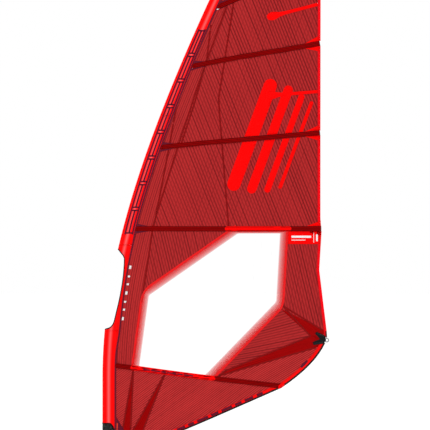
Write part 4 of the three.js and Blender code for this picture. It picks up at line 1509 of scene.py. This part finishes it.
CLEW_STRAPS = (
    metres((1634, 1002), (1647, 1016), (1709, 988), (1713, 972), (1672, 985)),
    metres((1615, 935), (1623, 913), (1695, 923), (1709, 940), (1662, 936)),
)
CLEW_STITCHES = (
    metres((1643, 1003), (1649, 1009), (1700, 986), (1703, 979), (1643, 1003)),
    metres((1624, 931), (1628, 920), (1691, 928), (1699, 936), (1624, 931)),
    metres((1643, 1003), (1700, 986)), metres((1628, 920), (1699, 936)),
)
CLEW_OUTLINE = metres(
    (1634, 1002), (1647, 1016), (1709, 987), (1714, 972), (1719.5, 955), (1719.5, 947), (1710, 936),
    (1695, 923), (1623, 913), (1615, 935), (1674, 959))


def on_clew_strap(side, lift):
    """The webbing rises from the cloth to pass over the ring."""
    def place(x, z):
        near = 1 - smooth((math.dist((x, z), CLEW) - 0.032) / 0.028)
        return x, side * (0.001 + near * 0.0025 + lift), z

    return place


def inset_box(outline, share):
    """A smaller copy of an outline about its middle."""
    x0 = sum(x for x, _ in outline) / len(outline)
    z0 = sum(z for _, z in outline) / len(outline)
    return [(x0 + (x - x0) * share, z0 + (z - z0) * share) for x, z in outline]


class SAIL_OT_clew(bpy.types.Operator):
    """Makes the clew's webbing straps and finishes the ring"""
    bl_idname = "sail.clew"
    bl_label = "Clew"

    def execute(self, context):
        shell = Shell()
        shell.stick(flat_from(CLEW_OUTLINE, 0.006), on_clew_strap, *LAYERS["strap"])
        loop = flat_from(metres((1717.4, 948), (1719.4, 948), (1719.4, 954), (1717.4, 954)), None)
        shell.lay(loop, lambda x, z: (x, -0.0048, z), lambda x, z: (x, 0.0048, z))
        for strap in CLEW_STRAPS:
            shell.stick(flat_from(inset_box(strap, 0.82), 0.006), on_clew_strap, *LAYERS["second_strap"])
        shell.made("clew_webbing_straps", look_of("black_webbing"), "webbing", replaces=["clew_webbing"])
        strap = Shell()
        up = metres((1716, 972), (1727, 972), (1724, 1021), (1715, 1021))
        strap.stick(flat_from(up, 0.01), on_cloth, *LAYERS["leech_strap"])
        strap.made("leech_strap", look_of("black_webbing"), "webbing")
        stitches = Shell()
        for line in CLEW_STITCHES:
            stitches.stitch(line, on_clew_strap, *STITCHING["clew"])
        stitches.made("clew_stitching", look_of("black_thread"), "webbing")
        dress("clew_ring", "steel")
        return {"FINISHED"}


TAB = metres((87, 250), (95, 250), (97, 304), (88, 304))
TACK_STITCHES = (
    metres((65, 84), (110, 160), (128, 147), (86, 80), (65, 84)), metres((90, 124), (126, 146)),
    metres((107, 114), (110, 158)),
)
TACK_STRAP = metres((38, 47.5), (66, 47.5), (67, 61), (88, 76), (134, 148), (106, 168), (58, 82), (42, 60))


def on_tack_strap(side, lift):
    """The webbing closes in on the cloth above the block."""
    def place(x, z):
        spread = 0.0036 * (1 - smooth((x - 0.07) / 0.03))
        return x, sail_y(x, z) + side * (0.0014 + spread + lift), z

    return place


class SAIL_OT_tack(bpy.types.Operator):
    """Makes the tack's webbing and finishes the pulley block, its pin and the sheaves"""
    bl_idname = "sail.tack"
    bl_label = "Tack"

    def execute(self, context):
        shell = Shell()
        shell.stick(flat_from(TACK_STRAP, 0.008), on_tack_strap, *LAYERS["strap"])
        loop = flat_from(metres((38, 47.5), (66, 47.5), (66, 49.5), (38, 49.5)), 0.008)
        shell.lay(loop, lambda x, z: (x, -0.0064, z), lambda x, z: (x, 0.0064, z))
        shell.made("tack_webbing_strap", look_of("black_webbing"), "webbing", replaces=["tack_webbing"])
        stitches = Shell()
        for line in TACK_STITCHES:
            stitches.stitch(line, on_tack_strap, *STITCHING["tack"])
        stitches.made("tack_stitching", look_of("black_thread"), "webbing")
        dress("pulley_block", "black_plastic")
        dress("sheave_pin", "steel")
        for number in (1, 2, 3):
            dress(f"sheave_{number}", "sheave_plastic")
        tongue = metres((40, 120), (78.2, 120), (78.2, 236)) + [
            (x - 0.0008, z - 0.0012) for x, z in TACK_CURVE[2:9]]
        dark = Shell().lay(flat_from(tongue, 0.02), lambda x, z: (x, -0.001, z), lambda x, z: (x, 0.001, z))
        dark.made("fairing_tongue", look_of("fairing_pad"), "fairing_pad")
        tab = Shell().stick(flat_from(TAB), on_cloth, *LAYERS["tab"])
        tab.made("orange_tab", look_of("orange_tab"), "patch_cloth")
        return {"FINISHED"}


FAIRING = (0.084, 0.304)
FAIRING_WALL = 0.005
FAIRING_AFT = 0.05
FLAP_SPLIT = 0.004


def fairing_top(x):
    """Height of the fairing's upper edge at a distance aft."""
    line = [(-0.09, 0.304)] + bezier((0.028, 0.304), (0.054, 0.304), (0.074, 0.236), 8)
    for (x0, z0), (x1, z1) in zip(line, line[1:]):
        if x <= x1:
            return z0 + (z1 - z0) * (x - x0) / (x1 - x0) - 0.0012
    return 0.236


def pad_grid(arc, rows=26):
    """Outer and inner points of a pad whose edges are rounded thin."""
    outer, inner = [], []
    count = len(arc) - 1
    for r in range(rows + 1):
        rings = ([], [])
        for k, (x, y, nx, ny) in enumerate(arc):
            z = FAIRING[0] + (fairing_top(x) - FAIRING[0]) * r / rows
            edge = min(r, rows - r) / rows * (FAIRING[1] - FAIRING[0])
            side = min(k, count - k) / count * 0.11
            plump = math.sqrt(min(1.0, (min(edge, side) + 0.0004) / 0.008))
            ribs = 0.0006 * math.cos(2 * math.pi * (z - 0.09) / 0.036) * plump
            for ring, depth in zip(rings, (FAIRING_WALL * (0.5 - 0.5 * plump) - min(0.0, ribs),
                                           FAIRING_WALL * (0.5 + 0.5 * plump) - 0.0002)):
                ring.append((x - nx * depth, y - ny * depth, z))
        outer.append(rings[0])
        inner.append(rings[1])
    return outer, inner


def fairing_arc(start, end, count):
    """Points and normals round the mast-foot section, from one place to another; each place is (x, side)."""
    def angle(x, side):
        s = x - LUFF_X
        return side * (math.acos((NOSE - s) / NOSE) if s < NOSE else math.pi / 2 + (s - NOSE) / NOSE)

    a, b = angle(*start), angle(*end)
    arc = []
    for k in range(count + 1):
        turn = a + (b - a) * k / count
        side = 1 if turn > 0 else -1
        if abs(turn) <= math.pi / 2:
            s, half = NOSE - NOSE * math.cos(turn), NOSE * math.sin(abs(turn))
        else:
            s = NOSE + (abs(turn) - math.pi / 2) * NOSE
            half = sleeve_half(LUFF_X + s, 0.0)
        round_part = s < TANGENT[0]
        normal = Vector((s - NOSE, side * half)).normalized() if round_part else Vector((0.35, side * 0.937))
        arc.append((LUFF_X + s, side * half, normal.x, normal.y))
    return arc


class SAIL_OT_fairing(bpy.types.Operator):
    """Makes the padded mast-foot fairing and its flap"""
    bl_idname = "sail.fairing"
    bl_label = "Mast-foot fairing"

    def execute(self, context):
        self.pad("tack_fairing", fairing_arc((FAIRING_AFT, -1), (FLAP_SPLIT - 0.0006, 1), 48), "sail")
        self.pad("tack_flap", fairing_arc((FLAP_SPLIT + 0.0006, 1), (FAIRING_AFT, 1), 24), "flap")
        return {"FINISHED"}

    def pad(self, node, arc, body):
        outer, inner = pad_grid(arc)
        shell = Shell()
        columns, rows = len(arc), len(outer)
        a = shell.loft(outer, closed=False)
        b = shell.loft(inner, closed=False, flip=True)
        round_edge = (list(range(columns)) + [r * columns + columns - 1 for r in range(1, rows)]
                      + [(rows - 1) * columns + k for k in range(columns - 2, -1, -1)]
                      + [r * columns for r in range(rows - 2, 0, -1)])
        for i, j in zip(round_edge, round_edge[1:] + round_edge[:1]):
            shell.face([a + j, a + i, b + i, b + j])
        piece = shell.made(f"{node}_pad", look_of("fairing_pad"), "fairing_pad", body, [node], tidy=True)


class SAIL_OT_head(bpy.types.Operator):
    """Finishes the cap at the top of the sleeve"""
    bl_idname = "sail.head"
    bl_label = "Head cap"

    def execute(self, context):
        dress("head_cap", "black_plastic")
        return {"FINISHED"}


FLOOR_RADIUS, FLOOR_SIDES, FLOOR_Z = 30, 64, -0.0005
CAMERA_PLACE = (0.854, -13.975, 1.927)
CAMERA_LENS, CAMERA_SENSOR = 150, 36  # in millimetres
LIGHT_AIM = (0.8, 0, 2.0)


class SAIL_OT_studio(bpy.types.Operator):
    """Makes the floor, the lights and the camera"""
    bl_idname = "sail.studio"
    bl_label = "Studio"

    def execute(self, context):
        settings = context.scene.sail_studio
        self.floor(settings.floor)
        world = bpy.data.worlds.new("studio")
        world.use_nodes = True
        background = world.node_tree.nodes["Background"]
        background.inputs["Color"].default_value = (1, 1, 1, 1)
        background.inputs["Strength"].default_value = settings.world
        context.scene.world = world
        self.light("key", (-4.5, -7.5, 6.5), 3.2, settings.key)
        self.light("rear", (-4.0, 6.5, 5.0), 3.0, settings.rim)
        lens = bpy.data.cameras.new("camera")
        lens.lens, lens.sensor_width = CAMERA_LENS, CAMERA_SENSOR
        lens.clip_end = 100
        camera = bpy.data.objects.new("camera", lens)
        camera.location = CAMERA_PLACE
        camera.rotation_euler = (math.pi / 2, 0, 0)
        context.scene.collection.objects.link(camera)
        context.scene.camera = camera
        context.scene.view_settings.view_transform = "Standard"
        return {"FINISHED"}

    def floor(self, colour):
        look = Look("studio_floor")
        shade = look.noise(1.2, 3.0)
        pale = tuple(colour)
        tinted = look.mix(shade * 0.1, pale, tuple(value * 0.97 for value in pale))
        mesh = bpy.data.meshes.new("studio_floor")
        turns = [2 * math.pi * k / FLOOR_SIDES for k in range(FLOOR_SIDES)]
        rim = [(FLOOR_RADIUS * math.cos(t), FLOOR_RADIUS * math.sin(t), FLOOR_Z) for t in turns]
        mesh.from_pydata(rim, [], [tuple(range(FLOOR_SIDES))])
        glow = {"Emission Color": (1, 1, 1, 1), "Emission Strength": 0.13, "Specular IOR Level": 0.1}
        mesh.materials.append(look.finish(tinted, look.clamp(0.8 + shade * 0.1), fixed=glow))
        floor = bpy.data.objects.new("studio_floor", mesh)
        bpy.context.scene.collection.objects.link(floor)

    def light(self, name, place, width, power):
        lamp = bpy.data.lights.new(name, "AREA")
        lamp.shape, lamp.size, lamp.energy = "SQUARE", width, power
        piece = bpy.data.objects.new(name, lamp)
        piece.location = place
        aim = Vector(LIGHT_AIM) - Vector(place)
        piece.rotation_euler = aim.to_track_quat("-Z", "Y").to_euler()
        bpy.context.scene.collection.objects.link(piece)


OPERATORS = (
    SAIL_OT_studio, SAIL_OT_sleeve, SAIL_OT_panels, SAIL_OT_window, SAIL_OT_edges, SAIL_OT_pockets,
    SAIL_OT_battens, SAIL_OT_seams, SAIL_OT_prints, SAIL_OT_clew, SAIL_OT_tack, SAIL_OT_fairing, SAIL_OT_head,
)


class SAIL_PT_sidebar(bpy.types.Panel):
    """Lists the sail's settings and the operators that make its pieces"""
    bl_idname = "SAIL_PT_sidebar"
    bl_label = "Windsurf sail"
    bl_space_type = "VIEW_3D"
    bl_region_type = "UI"
    bl_category = "Sail"

    def draw(self, context):
        layout = self.layout
        for group in (context.scene.sail_sizes, context.scene.sail_colours, context.scene.sail_studio):
            box = layout.box()
            for name in group.__annotations__:
                box.prop(group, name)
        for operator in OPERATORS:
            layout.operator(operator.bl_idname)


CLASSES = (SailSizes, SailColours, StudioSettings, *OPERATORS, SAIL_PT_sidebar)
GROUPS = {"sail_sizes": SailSizes, "sail_colours": SailColours, "sail_studio": StudioSettings}


def register():
    for each in CLASSES:
        bpy.utils.register_class(each)
    for name, group in GROUPS.items():
        setattr(bpy.types.Scene, name, PointerProperty(type=group))


def unregister():
    for name in GROUPS:
        delattr(bpy.types.Scene, name)
    for each in reversed(CLASSES):
        bpy.utils.unregister_class(each)


def main():
    register()
    for operator in OPERATORS:
        group, name = operator.bl_idname.split(".")
        getattr(getattr(bpy.ops, group), name)()


if __name__ == "__main__":
    main()
